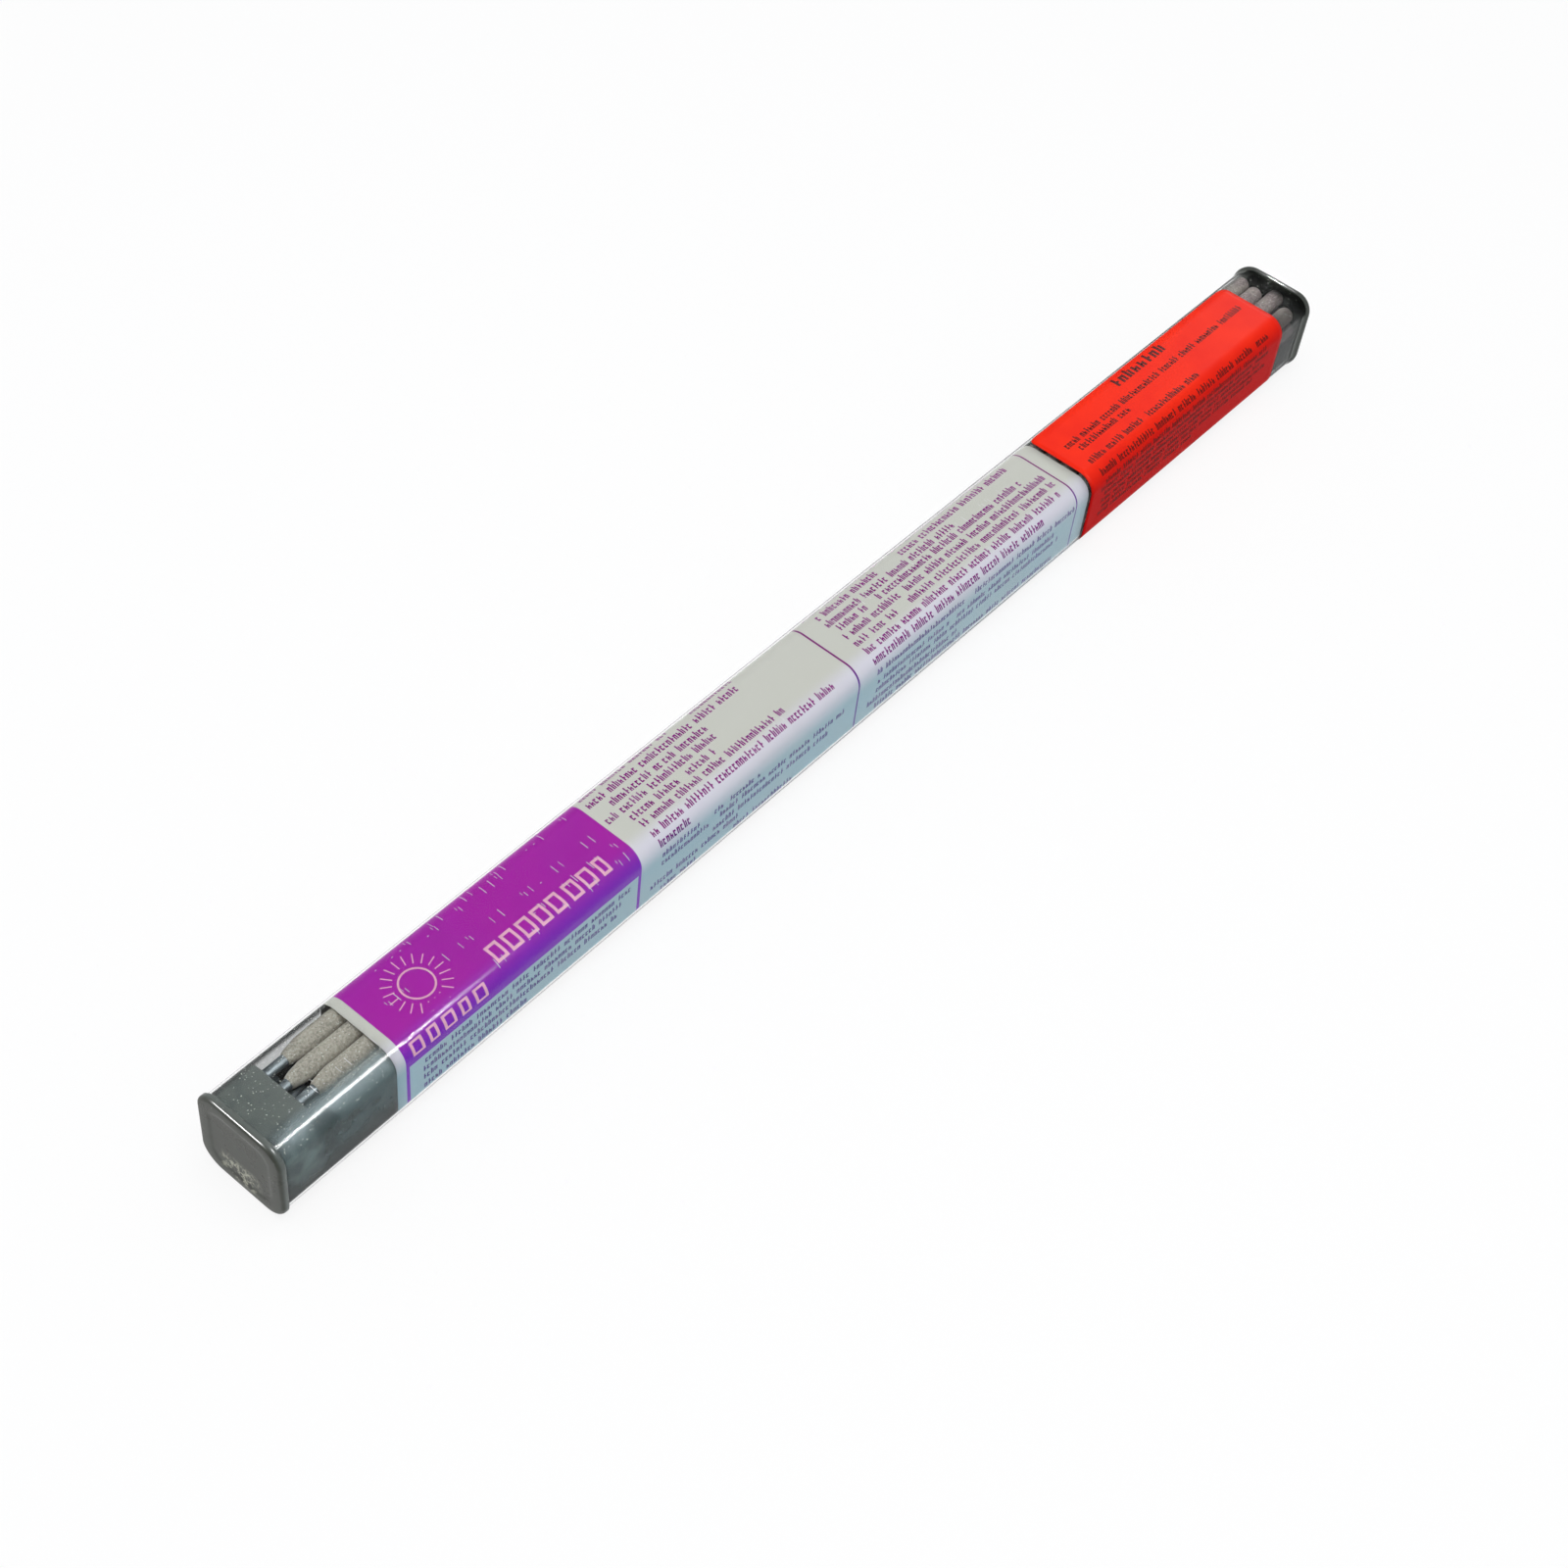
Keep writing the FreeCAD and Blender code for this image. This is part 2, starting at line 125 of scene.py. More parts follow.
def finishTree(tree, geometry, material, out, smooth=True):
    real = addNode(tree, "GeometryNodeRealizeInstances", {0: geometry})
    shaded = addNode(tree, "GeometryNodeSetShadeSmooth", {
        "Geometry": real.outputs[0], "Shade Smooth": smooth})
    done = addNode(tree, "GeometryNodeSetMaterial", {"Geometry": shaded.outputs[0], "Material": material})
    feed(tree, done.outputs[0], out)


def wrapAndFinish(tree, wrapGroup, geometry, given, made, smooth=True):
    wrapped = addNode(tree, "GeometryNodeGroup", {}, node_tree=wrapGroup)
    feed(tree, geometry, wrapped.inputs["Geometry"])
    for label in ("Half Width", "Corner"):
        feed(tree, given[label], wrapped.inputs[label])
    finishTree(tree, wrapped.outputs[0], given["Material"], made[0], smooth)


# Wrapping: flat work in (along, round, lift) goes on to the rounded square of the tube.
# Round is the way from the middle of the top, growing over the near edge and down the near side.
def makeWrapGroup():
    tree, given, made = newTree("wrapOnTube", ["Half Width", "Corner"], dressed=False)
    along, way, lift = parted(tree, placeOf(tree))
    half, corner = given["Half Width"], given["Corner"]
    flat = calc(tree, "SUBTRACT", half, corner)
    quarter = calc(tree, "MULTIPLY", corner, math.pi / 2)
    side = calc(tree, "MULTIPLY", flat, 2.0)
    reach = calc(tree, "ADD", corner, lift)
    travelled = calc(tree, "ABSOLUTE", way)
    pastTop = calc(tree, "SUBTRACT", travelled, flat)
    pastCorner = calc(tree, "SUBTRACT", pastTop, quarter)
    pastSide = calc(tree, "SUBTRACT", pastCorner, side)
    pastFoot = calc(tree, "SUBTRACT", pastSide, quarter)
    onTop = held(tree, travelled, 0.0, flat)
    turn = held(tree, calc(tree, "DIVIDE", pastTop, corner), 0.0, math.pi / 2)
    down = held(tree, pastCorner, 0.0, side)
    footTurn = held(tree, calc(tree, "DIVIDE", pastSide, corner), 0.0, math.pi / 2)
    under = held(tree, pastFoot, 0.0, side)

    def bent(operation, angle):
        return calc(tree, "MULTIPLY", reach, calc(tree, operation, angle))

    def rounded(angle):
        return calc(tree, "SUBTRACT", reach, bent("COSINE", angle))

    out = calc(tree, "ADD", onTop, bent("SINE", turn))
    out = calc(tree, "SUBTRACT", out, rounded(footTurn))
    out = calc(tree, "SUBTRACT", out, under)
    across = calc(tree, "MULTIPLY", calc(tree, "MULTIPLY", out, calc(tree, "SIGN", way)), -1.0)
    up = calc(tree, "ADD", calc(tree, "ADD", half, lift), axisHeight)
    for drop in (rounded(turn), down, bent("SINE", footTurn)):
        up = calc(tree, "SUBTRACT", up, drop)
    place = joined(tree, along, across, up)
    moved = addNode(tree, "GeometryNodeSetPosition", {"Geometry": given["Geometry"], "Position": place})
    turned = addNode(tree, "GeometryNodeFlipFaces", {0: moved.outputs[0]})
    feed(tree, turned.outputs[0], made["Geometry"])
    return tree


# A sheet of paper or film: a thin slab with round corners, stored flat as the UV map printMap, then wrapped
def makeSheetTree(wrapGroup):
    tree, given, made = newTree(
        "wrappedSheet", ["Start", "Length", "From", "To", "Thickness", "Cut Corner", "Half Width", "Corner"],
        ["Cells Along", "Cells Round"])
    slab = addNode(tree, "GeometryNodeMeshCube", {
        "Size": (1, 1, 1), "Vertices X": given["Cells Along"], "Vertices Y": given["Cells Round"],
        "Vertices Z": 2})
    unitAlong, unitRound, unitUp = parted(tree, placeOf(tree))
    way = addNode(tree, "ShaderNodeMapRange", {
        0: unitRound, 1: -0.5, 2: 0.5, 3: given["From"], 4: given["To"]}).outputs[0]
    fromEdge = calc(tree, "MINIMUM", calc(tree, "SUBTRACT", way, given["From"]),
                    calc(tree, "SUBTRACT", given["To"], way))
    cut = given["Cut Corner"]
    inCut = calc(tree, "MAXIMUM", calc(tree, "SUBTRACT", cut, fromEdge), 0.0)
    left = calc(tree, "SUBTRACT", calc(tree, "MULTIPLY", cut, cut), calc(tree, "MULTIPLY", inCut, inCut))
    inset = calc(tree, "SUBTRACT", cut, calc(tree, "SQRT", calc(tree, "MAXIMUM", left, 0.0)))
    halfWhole = calc(tree, "MULTIPLY", given["Length"], 0.5)
    halfLength = calc(tree, "SUBTRACT", halfWhole, inset)
    middle = calc(tree, "ADD", given["Start"], halfWhole)
    along = calc(tree, "MULTIPLY_ADD", calc(tree, "MULTIPLY", unitAlong, 2.0), halfLength, middle)
    lift = calc(tree, "MULTIPLY", calc(tree, "SUBTRACT", unitUp, 0.5), given["Thickness"])
    laid = addNode(tree, "GeometryNodeSetPosition", {
        "Geometry": slab.outputs[0], "Position": joined(tree, along, way, lift)})
    marked = addNode(tree, "GeometryNodeStoreNamedAttribute", {
        "Geometry": laid.outputs[0], "Name": "printMap", "Value": placeOf(tree)},
        data_type="FLOAT2", domain="CORNER")
    wrapAndFinish(tree, wrapGroup, marked.outputs[0], given, made)
    return tree


# Rows of small marks along the tube, in groups with gaps between them
rows = {"drift": 0.7, "driftShare": 0.8, "rowStep": 977.0, "dice": (9173.0, 6151.0, 1.0), "tall": 0.5}


def makeRowTree(name, wrapGroup, shapes, cells=5):
    tree, given, made = newTree(
        name, ["Pitch", "Height", "Group Length", "Gap Share", "Ink Thickness", "Half Width", "Corner",
               "Seed"])
    pitch, height = given["Pitch"], given["Height"]
    lines = addNode(tree, "GeometryNodeMeshToCurve", {0: given["Geometry"]})
    spots = addNode(tree, "GeometryNodeCurveToPoints", {
        "Curve": lines.outputs[0], "Length": pitch}, mode="LENGTH")
    place = placeOf(tree)
    along, way, _ = parted(tree, place)
    groupCount = calc(tree, "DIVIDE", along, given["Group Length"])
    rowMark = calc(tree, "ADD", calc(tree, "MULTIPLY", way, rows["rowStep"]), given["Seed"])
    driftPlace = joined(tree, calc(tree, "MULTIPLY", groupCount, rows["drift"]), rowMark)
    drift = addNode(tree, "ShaderNodeTexNoise", {
        "Vector": driftPlace, "Scale": 1.0, "Detail": 1.0}, noise_dimensions="2D").outputs[0]
    count = calc(tree, "ADD", groupCount, rowMark)
    rhythm = calc(tree, "FRACT", calc(tree, "MULTIPLY_ADD", drift, rows["driftShare"], count))
    inGroup = calc(tree, "GREATER_THAN", rhythm, given["Gap Share"])
    spread = addNode(tree, "ShaderNodeVectorMath", {0: place, 1: rows["dice"]}, operation="MULTIPLY")
    dice = addNode(tree, "ShaderNodeTexWhiteNoise", {
        "Vector": spread.outputs[0]}, noise_dimensions="3D").outputs[0]
    marks = addNode(tree, "GeometryNodeJoinGeometry")
    for shape in shapes:
        parts = addNode(tree, "GeometryNodeJoinGeometry")
        for wide, tall, sideways, lower in shape:
            size = joined(tree, calc(tree, "MULTIPLY", pitch, wide), calc(tree, "MULTIPLY", height, tall),
                          given["Ink Thickness"])
            stroke = addNode(tree, "GeometryNodeMeshCube", {
                "Size": size, "Vertices Y": cells if tall > rows["tall"] else 3})
            shift = joined(tree, calc(tree, "MULTIPLY", pitch, sideways),
                           calc(tree, "MULTIPLY", height, lower))
            moved = addNode(tree, "GeometryNodeTransform", {
                "Geometry": stroke.outputs[0], "Translation": shift})
            tree.links.new(moved.outputs[0], parts.inputs[0])
        single = addNode(tree, "GeometryNodeGeometryToInstance", {0: parts.outputs[0]})
        tree.links.new(single.outputs[0], marks.inputs[0])
    chosen = calc(tree, "FLOOR", calc(tree, "MULTIPLY", dice, float(len(shapes)) - 0.001))
    laid = addNode(tree, "GeometryNodeInstanceOnPoints", {
        "Points": spots.outputs[0], "Selection": inGroup, "Instance": marks.outputs[0],
        "Pick Instance": True, "Instance Index": chosen})
    flatMarks = addNode(tree, "GeometryNodeRealizeInstances", {0: laid.outputs[0]})
    wrapAndFinish(tree, wrapGroup, flatMarks.outputs[0], given, made, smooth=False)
    return tree


# Strokes of each mark: width and height as shares of the pitch and the row's height, then the shift
markShapes = [
    [(0.34, 1.0, -0.2, 0.0), (0.30, 0.72, 0.24, 0.14)],
    [(0.32, 0.72, -0.24, 0.14), (0.32, 0.72, 0.24, 0.14), (0.3, 0.2, 0.0, -0.1)],
    [(0.32, 0.72, -0.24, 0.14), (0.42, 0.2, 0.06, -0.1), (0.42, 0.2, 0.06, 0.41)],
    [(0.34, 0.95, -0.05, 0.02), (0.28, 0.2, 0.22, 0.1)],
    [(0.32, 0.72, -0.2, 0.14), (0.5, 0.2, 0.05, 0.16), (0.28, 0.5, 0.24, 0.25)],
]
blockShapes = [
    [(0.16, 1.0, -0.3, 0.0), (0.16, 1.0, 0.3, 0.0), (0.5, 0.15, 0.0, 0.425), (0.5, 0.15, 0.0, -0.425)],
    [(0.16, 1.0, -0.22, 0.0), (0.16, 1.0, 0.22, 0.0), (0.34, 0.15, 0.0, 0.425), (0.34, 0.15, 0.0, -0.425)],
]
scuffShapes = [
    [(0.05, 1.0, 0.0, 0.0)], [(0.04, 0.6, 0.12, 0.1), (0.03, 0.4, -0.2, -0.2)], [(0.16, 0.05, 0.0, 0.2)],
    [(0.03, 0.8, -0.15, 0.0)],
]


# A plain mark: a ring with rays round it
def makeSparkTree(wrapGroup):
    tree, given, made = newTree(
        "ringWithRays", ["Along", "Way", "Ring Radius", "Ray Start", "Ray Length", "Stroke", "Ray Share",
                         "Overlap", "Ink Thickness", "Half Width", "Corner"], ["Segments", "Rays"])
    index = addNode(tree, "GeometryNodeInputIndex").outputs[0]
    both = addNode(tree, "GeometryNodeJoinGeometry")
    spacing = calc(tree, "DIVIDE", given["Ring Radius"], given["Segments"])
    chord = calc(tree, "MULTIPLY", calc(tree, "MULTIPLY", spacing, 2 * math.pi), given["Overlap"])
    rayMiddle = calc(tree, "MULTIPLY_ADD", given["Ray Length"], 0.5, given["Ray Start"])
    rayWidth = calc(tree, "MULTIPLY", given["Stroke"], given["Ray Share"])
    for count, radius, outward, sideways in (
            (given["Segments"], given["Ring Radius"], given["Stroke"], chord),
            (given["Rays"], rayMiddle, given["Ray Length"], rayWidth)):
        circle = addNode(tree, "GeometryNodeMeshCircle", {"Vertices": count, "Radius": radius})
        stroke = addNode(tree, "GeometryNodeMeshCube", {
            "Size": joined(tree, outward, sideways, given["Ink Thickness"])})
        turn = calc(tree, "MULTIPLY", calc(tree, "DIVIDE", index, count), 2 * math.pi)
        laid = addNode(tree, "GeometryNodeInstanceOnPoints", {
            "Points": circle.outputs[0], "Instance": stroke.outputs[0], "Rotation": joined(tree, z=turn)})
        tree.links.new(laid.outputs[0], both.inputs[0])
    flatMark = addNode(tree, "GeometryNodeRealizeInstances", {0: both.outputs[0]})
    moved = addNode(tree, "GeometryNodeTransform", {
        "Geometry": flatMark.outputs[0], "Translation": joined(tree, given["Along"], given["Way"])})
    wrapAndFinish(tree, wrapGroup, moved.outputs[0], given, made, smooth=False)
    return tree


# Dust: tiny flat grains scattered on a patch, then wrapped
def makeDustTree(wrapGroup):
    tree, given, made = newTree(
        "scatteredDust", ["Start", "Length", "From", "To", "Grain", "Density", "Lift", "Half Width",
                          "Corner"], ["Seed"])
    wide = calc(tree, "SUBTRACT", given["To"], given["From"])
    patch = addNode(tree, "GeometryNodeMeshGrid", {"Size X": given["Length"], "Size Y": wide})
    middle = joined(tree, calc(tree, "MULTIPLY_ADD", given["Length"], 0.5, given["Start"]),
                    calc(tree, "MULTIPLY_ADD", wide, 0.5, given["From"]), given["Lift"])
    placed = addNode(tree, "GeometryNodeTransform", {"Geometry": patch.outputs[0], "Translation": middle})
    spots = addNode(tree, "GeometryNodeDistributePointsOnFaces", {
        "Mesh": placed.outputs[0], "Density": given["Density"], "Seed": given["Seed"]})
    grainShape = addNode(tree, "GeometryNodeMeshIcoSphere", {"Radius": given["Grain"], "Subdivisions": 1})
    size = addNode(tree, "FunctionNodeRandomValue", {
        "Min": (0.35, 0.35, 0.12), "Max": (1.5, 1.0, 0.25)}, data_type="FLOAT_VECTOR")
    turn = addNode(tree, "FunctionNodeRandomValue", {
        "Min": (0, 0, 0), "Max": (0, 0, 6.28)}, data_type="FLOAT_VECTOR")
    laid = addNode(tree, "GeometryNodeInstanceOnPoints", {
        "Points": spots.outputs[0], "Instance": grainShape.outputs[0], "Scale": size.outputs[0],
        "Rotation": turn.outputs[0]})
    flatDust = addNode(tree, "GeometryNodeRealizeInstances", {0: laid.outputs[0]})
    wrapAndFinish(tree, wrapGroup, flatDust.outputs[0], given, made)
    return tree


def runTree(name, tree, values, source=None):
    # Evaluates a tree on a mesh and gives back a plain mesh object
    mesh = source or bpy.data.meshes.new(name + "Seed")
    holder = bpy.data.objects.new(name, mesh)
    bpy.context.scene.collection.objects.link(holder)
    modifier = holder.modifiers.new("work", "NODES")
    modifier.node_group = tree
    for item in tree.interface.items_tree:
        if item.in_out == "INPUT" and item.name in values:
            modifier[item.identifier] = values[item.name]
    bpy.context.view_layer.update()
    graph = bpy.context.evaluated_depsgraph_get()
    result = bpy.data.meshes.new_from_object(holder.evaluated_get(graph))
    holder.modifiers.clear()
    holder.data = result
    bpy.data.meshes.remove(mesh)
    result.name = name
    return holder


def settlePiece(piece, body, replaced=()):
    if replaced:
        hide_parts(*replaced)
    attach(piece, body)
    print(piece.name, len(piece.data.polygons), "faces")


# Materials
def startMaterial(name):
    material = bpy.data.materials.new(name)
    material.use_nodes = True
    tree = material.node_tree
    tree.nodes.clear()
    shader = addNode(tree, "ShaderNodeBsdfPrincipled")
    out = addNode(tree, "ShaderNodeOutputMaterial", {"Surface": shader.outputs[0]})
    place = addNode(tree, "ShaderNodeTexCoord").outputs["Object"]
    return material, tree, shader, place, out


def blendColour(tree, factor, first, second):
    node = tree.nodes.new("ShaderNodeMix")
    node.data_type = "RGBA"
    feed(tree, factor, node.inputs[0])
    feed(tree, first, node.inputs[6])
    feed(tree, second, node.inputs[7])
    return node.outputs[2]


def rise(tree, value, start, end, low=0.0, high=1.0):
    return addNode(tree, "ShaderNodeMapRange", {0: value, 1: start, 2: end, 3: low, 4: high},
                   interpolation_type="SMOOTHSTEP").outputs[0]


def stain(tree, source, start, end, share, colour, stained):
    # Lets a second colour in, up to a share, as the source goes from start to end
    return blendColour(tree, rise(tree, source, start, end, 0.0, share), colour, stained)


def flatPlace(tree):
    # Where a point of a sheet lay when the sheet was flat: along the tube, and round it
    along, way, _ = parted(tree, addNode(tree, "ShaderNodeUVMap", uv_map="printMap").outputs[0])
    return along, way


def band(tree, value, low, high, soft=0.04 * mm):
    return calc(tree, "MULTIPLY", rise(tree, value, low - soft, low + soft),
                rise(tree, value, high - soft, high + soft, 1.0, 0.0))


def makeGrainGroup():
    # Fine height, broad blotches and sparse specks, for every dull or dusty finish
    tree, given, made = newGroup(
        "surfaceGrain", "ShaderNodeTree",
        [("Place", "NodeSocketVector"), ("Fine Scale", "NodeSocketFloat"), ("Broad Scale", "NodeSocketFloat"),
         ("Speck Share", "NodeSocketFloat")],
        [("Height", "NodeSocketFloat"), ("Blotch", "NodeSocketFloat"), ("Speck", "NodeSocketFloat")])
    fine = addNode(tree, "ShaderNodeTexNoise", {
        "Vector": given["Place"], "Scale": given["Fine Scale"], "Detail": 4.0, "Roughness": 0.65})
    broad = addNode(tree, "ShaderNodeTexNoise", {
        "Vector": given["Place"], "Scale": given["Broad Scale"], "Detail": 2.0})
    cells = addNode(tree, "ShaderNodeTexVoronoi", {
        "Vector": given["Place"], "Scale": calc(tree, "MULTIPLY", given["Fine Scale"], 0.5)})
    speck = rise(tree, cells.outputs["Distance"], given["Speck Share"], 0.0)
    picked = calc(tree, "GREATER_THAN", addNode(tree, "ShaderNodeSeparateColor", {
        0: cells.outputs["Color"]}).outputs[0], 0.55)
    feed(tree, fine.outputs[0], made["Height"])
    feed(tree, broad.outputs[0], made["Blotch"])
    feed(tree, calc(tree, "MULTIPLY", speck, picked), made["Speck"])
    return tree


def grain(tree, group, place, fineScale, broadScale, speckShare=0.0):
    node = addNode(tree, "ShaderNodeGroup", {}, node_tree=group)
    for label, value in (("Place", place), ("Fine Scale", fineScale), ("Broad Scale", broadScale),
                         ("Speck Share", speckShare)):
        feed(tree, value, node.inputs[label])
    return node.outputs


def bump(tree, height, strength, distance):
    return addNode(tree, "ShaderNodeBump", {
        "Height": height, "Strength": strength, "Distance": distance}).outputs[0]


def makePaperMaterial(group):
    look = {
        "topPaper": (0.61, 0.60, 0.545, 1), "paperSheen": (0.72, 0.69, 0.77, 1),
        "shadedPaper": (0.335, 0.50, 0.58, 1), "paperStain": (0.62, 0.60, 0.52, 1),
        "topPurple": (0.375, 0.006, 0.345, 1), "purpleReflection": (0.20, 0.022, 0.50, 1),
        "purpleStain": (0.26, 0.006, 0.35, 1),
        "topRule": (0.20, 0.01, 0.16, 1), "shadedRule": (0.10, 0.02, 0.30, 1),
        "sheenFrom": 4.5 * mm, "sheenPeak": 9.5 * mm, "shadeFull": 16 * mm,
        "reflectionFrom": 5.5 * mm, "reflectionTo": 12.5 * mm,
        "field": (32.6 * mm, 100.4 * mm), "fieldFoot": 14.7 * mm, "frameBar": 0.9 * mm,
        "rules": ((172.2 * mm, 0.26 * mm), (254.75 * mm, 0.22 * mm)),
    }
    material, tree, shader, place, _ = startMaterial("printedPaper")
    along, way = flatPlace(tree)
    along = calc(tree, "SUBTRACT", along, printStart)
    grainOut = grain(tree, group, place, 2600.0, 60.0)
    # Painted light round the way: the paper turns to a painted lilac sheen over the near edge and to painted
    # shade, bluer, down the near side; the purple and the rules take a painted bluer reflection over the edge
    # and down the side.
    over = rise(tree, way, look["reflectionFrom"], look["reflectionTo"])
    paper = stain(tree, way, look["sheenFrom"], look["sheenPeak"], 1.0, look["topPaper"], look["paperSheen"])
    paper = stain(tree, way, look["sheenPeak"], look["shadeFull"], 1.0, paper, look["shadedPaper"])
    paper = stain(tree, grainOut["Blotch"], 0.3, 0.75, 0.12, paper, look["paperStain"])
    purple = blendColour(tree, over, look["topPurple"], look["purpleReflection"])
    purple = stain(tree, grainOut["Blotch"], 0.35, 0.7, 0.18, purple, look["purpleStain"])
    rule = blendColour(tree, over, look["topRule"], look["shadedRule"])
    fieldStart, fieldEnd = look["field"]
    foot = look["fieldFoot"]
    aboveFoot = rise(tree, calc(tree, "ABSOLUTE", way), foot - 0.05 * mm, foot, 1.0, 0.0)
    inField = calc(tree, "MULTIPLY", band(tree, along, fieldStart, fieldEnd), aboveFoot)
    bars = calc(tree, "ADD", band(tree, along, fieldStart, fieldStart + look["frameBar"]),
                band(tree, along, fieldEnd - look["frameBar"], fieldEnd))
    colour = blendColour(tree, inField, paper, purple)
    colour = blendColour(tree, bars, colour, purple)
    for station, half in look["rules"]:
        colour = blendColour(tree, band(tree, along, station - half, station + half), colour, rule)
    feed(tree, colour, shader.inputs["Base Color"])
    feed(tree, rise(tree, grainOut["Height"], 0.2, 0.8, 0.6, 0.75), shader.inputs["Roughness"])
    shader.inputs["Specular IOR Level"].default_value = 0.05
    feed(tree, bump(tree, grainOut["Height"], 0.25, 0.02 * mm), shader.inputs["Normal"])
    return material


def makeInkMaterial(name, litColour, shadedColour, group):
    material, tree, shader, place, _ = startMaterial(name)
    look = {"from": 0.55, "to": 0.97, "worn": (0.6, 0.45, 0.6, 1)}
    height = calc(tree, "DIVIDE", calc(tree, "SUBTRACT", parted(tree, place)[2], axisHeight), sleeveHalf)
    # Painted shade: the top colour turns to a darker, bluer copy down the sides.
    colour = stain(tree, height, look["from"], look["to"], 1.0, shadedColour, litColour)
    grainOut = grain(tree, group, place, 1800.0, 300.0)
    colour = stain(tree, grainOut["Blotch"], 0.4, 0.8, 0.25, colour, look["worn"])
    feed(tree, colour, shader.inputs["Base Color"])
    feed(tree, rise(tree, grainOut["Height"], 0.2, 0.8, 0.55, 0.7), shader.inputs["Roughness"])
    shader.inputs["Specular IOR Level"].default_value = 0.05
    return material


def makeStickerMaterial(group):
    look = {"top": (0.94, 0.026, 0.006, 1), "topDull": (0.86, 0.018, 0.006, 1),
            "side": (0.52, 0.004, 0.004, 1), "from": 6 * mm, "to": 15 * mm}
    material, tree, shader, place, _ = startMaterial("orangeFilm")
    grainOut = grain(tree, group, place, 2200.0, 90.0)
    _, way = flatPlace(tree)
    colour = stain(tree, grainOut["Blotch"], 0.3, 0.75, 1.0, look["top"], look["topDull"])
    # Painted shade: the orange turns to the darker side colour down the near side.
    colour = stain(tree, way, look["from"], look["to"], 1.0, colour, look["side"])
    feed(tree, colour, shader.inputs["Base Color"])
    feed(tree, rise(tree, grainOut["Height"], 0.2, 0.8, 0.42, 0.55), shader.inputs["Roughness"])
    shader.inputs["Specular IOR Level"].default_value = 0.02
    feed(tree, bump(tree, grainOut["Height"], 0.15, 0.02 * mm), shader.inputs["Normal"])
    return material


def makeTubeMaterial(group):
    # Clear plastic: glass for the eye, but light and shade pass straight through to what is inside
    look = {"clear": (0.95, 0.96, 0.96, 1), "paintedEndShade": (0.060, 0.066, 0.060, 1), "edge": (0.05, 0.055, 0.05, 1),
            "endShadeFrom": tubeHigh.x - 7.5 * mm, "endShadeTo": tubeHigh.x - 3.6 * mm,
            "footShadeFrom": axisHeight - 8.2 * mm, "footShadeTo": axisHeight - 10.4 * mm, "footShadeShare": 0.75}
    material, tree, shader, place, out = startMaterial("clearPlastic")
    along, _, up = parted(tree, place)
    grainOut = grain(tree, group, place, 900.0, 45.0, 0.12)
    # Painted shade in the tint: near-black over the closed end, and darker towards the foot; the same tint
    # dims light passing in.
    tintAndShade = stain(tree, along, look["endShadeFrom"], look["endShadeTo"], 1.0, look["clear"], look["paintedEndShade"])
    tintAndShade = stain(tree, up, look["footShadeFrom"], look["footShadeTo"], look["footShadeShare"], tintAndShade, look["edge"])
    feed(tree, tintAndShade, shader.inputs["Base Color"])
    feed(tree, rise(tree, grainOut["Blotch"], 0.35, 0.75, 0.05, 0.12), shader.inputs["Roughness"])
    feed(tree, bump(tree, grainOut["Blotch"], 0.12, 0.4 * mm), shader.inputs["Normal"])
    shader.inputs["Transmission Weight"].default_value = 1.0
    shader.inputs["IOR"].default_value = 1.10
    passing = addNode(tree, "ShaderNodeBsdfTransparent", {"Color": tintAndShade})
    rays = addNode(tree, "ShaderNodeLightPath").outputs
    through = calc(tree, "MAXIMUM", rays["Is Shadow Ray"], rays["Is Diffuse Ray"])
    both = addNode(tree, "ShaderNodeMixShader", {0: through, 1: shader.outputs[0], 2: passing.outputs[0]})
    feed(tree, both.outputs[0], out.inputs["Surface"])
    return material


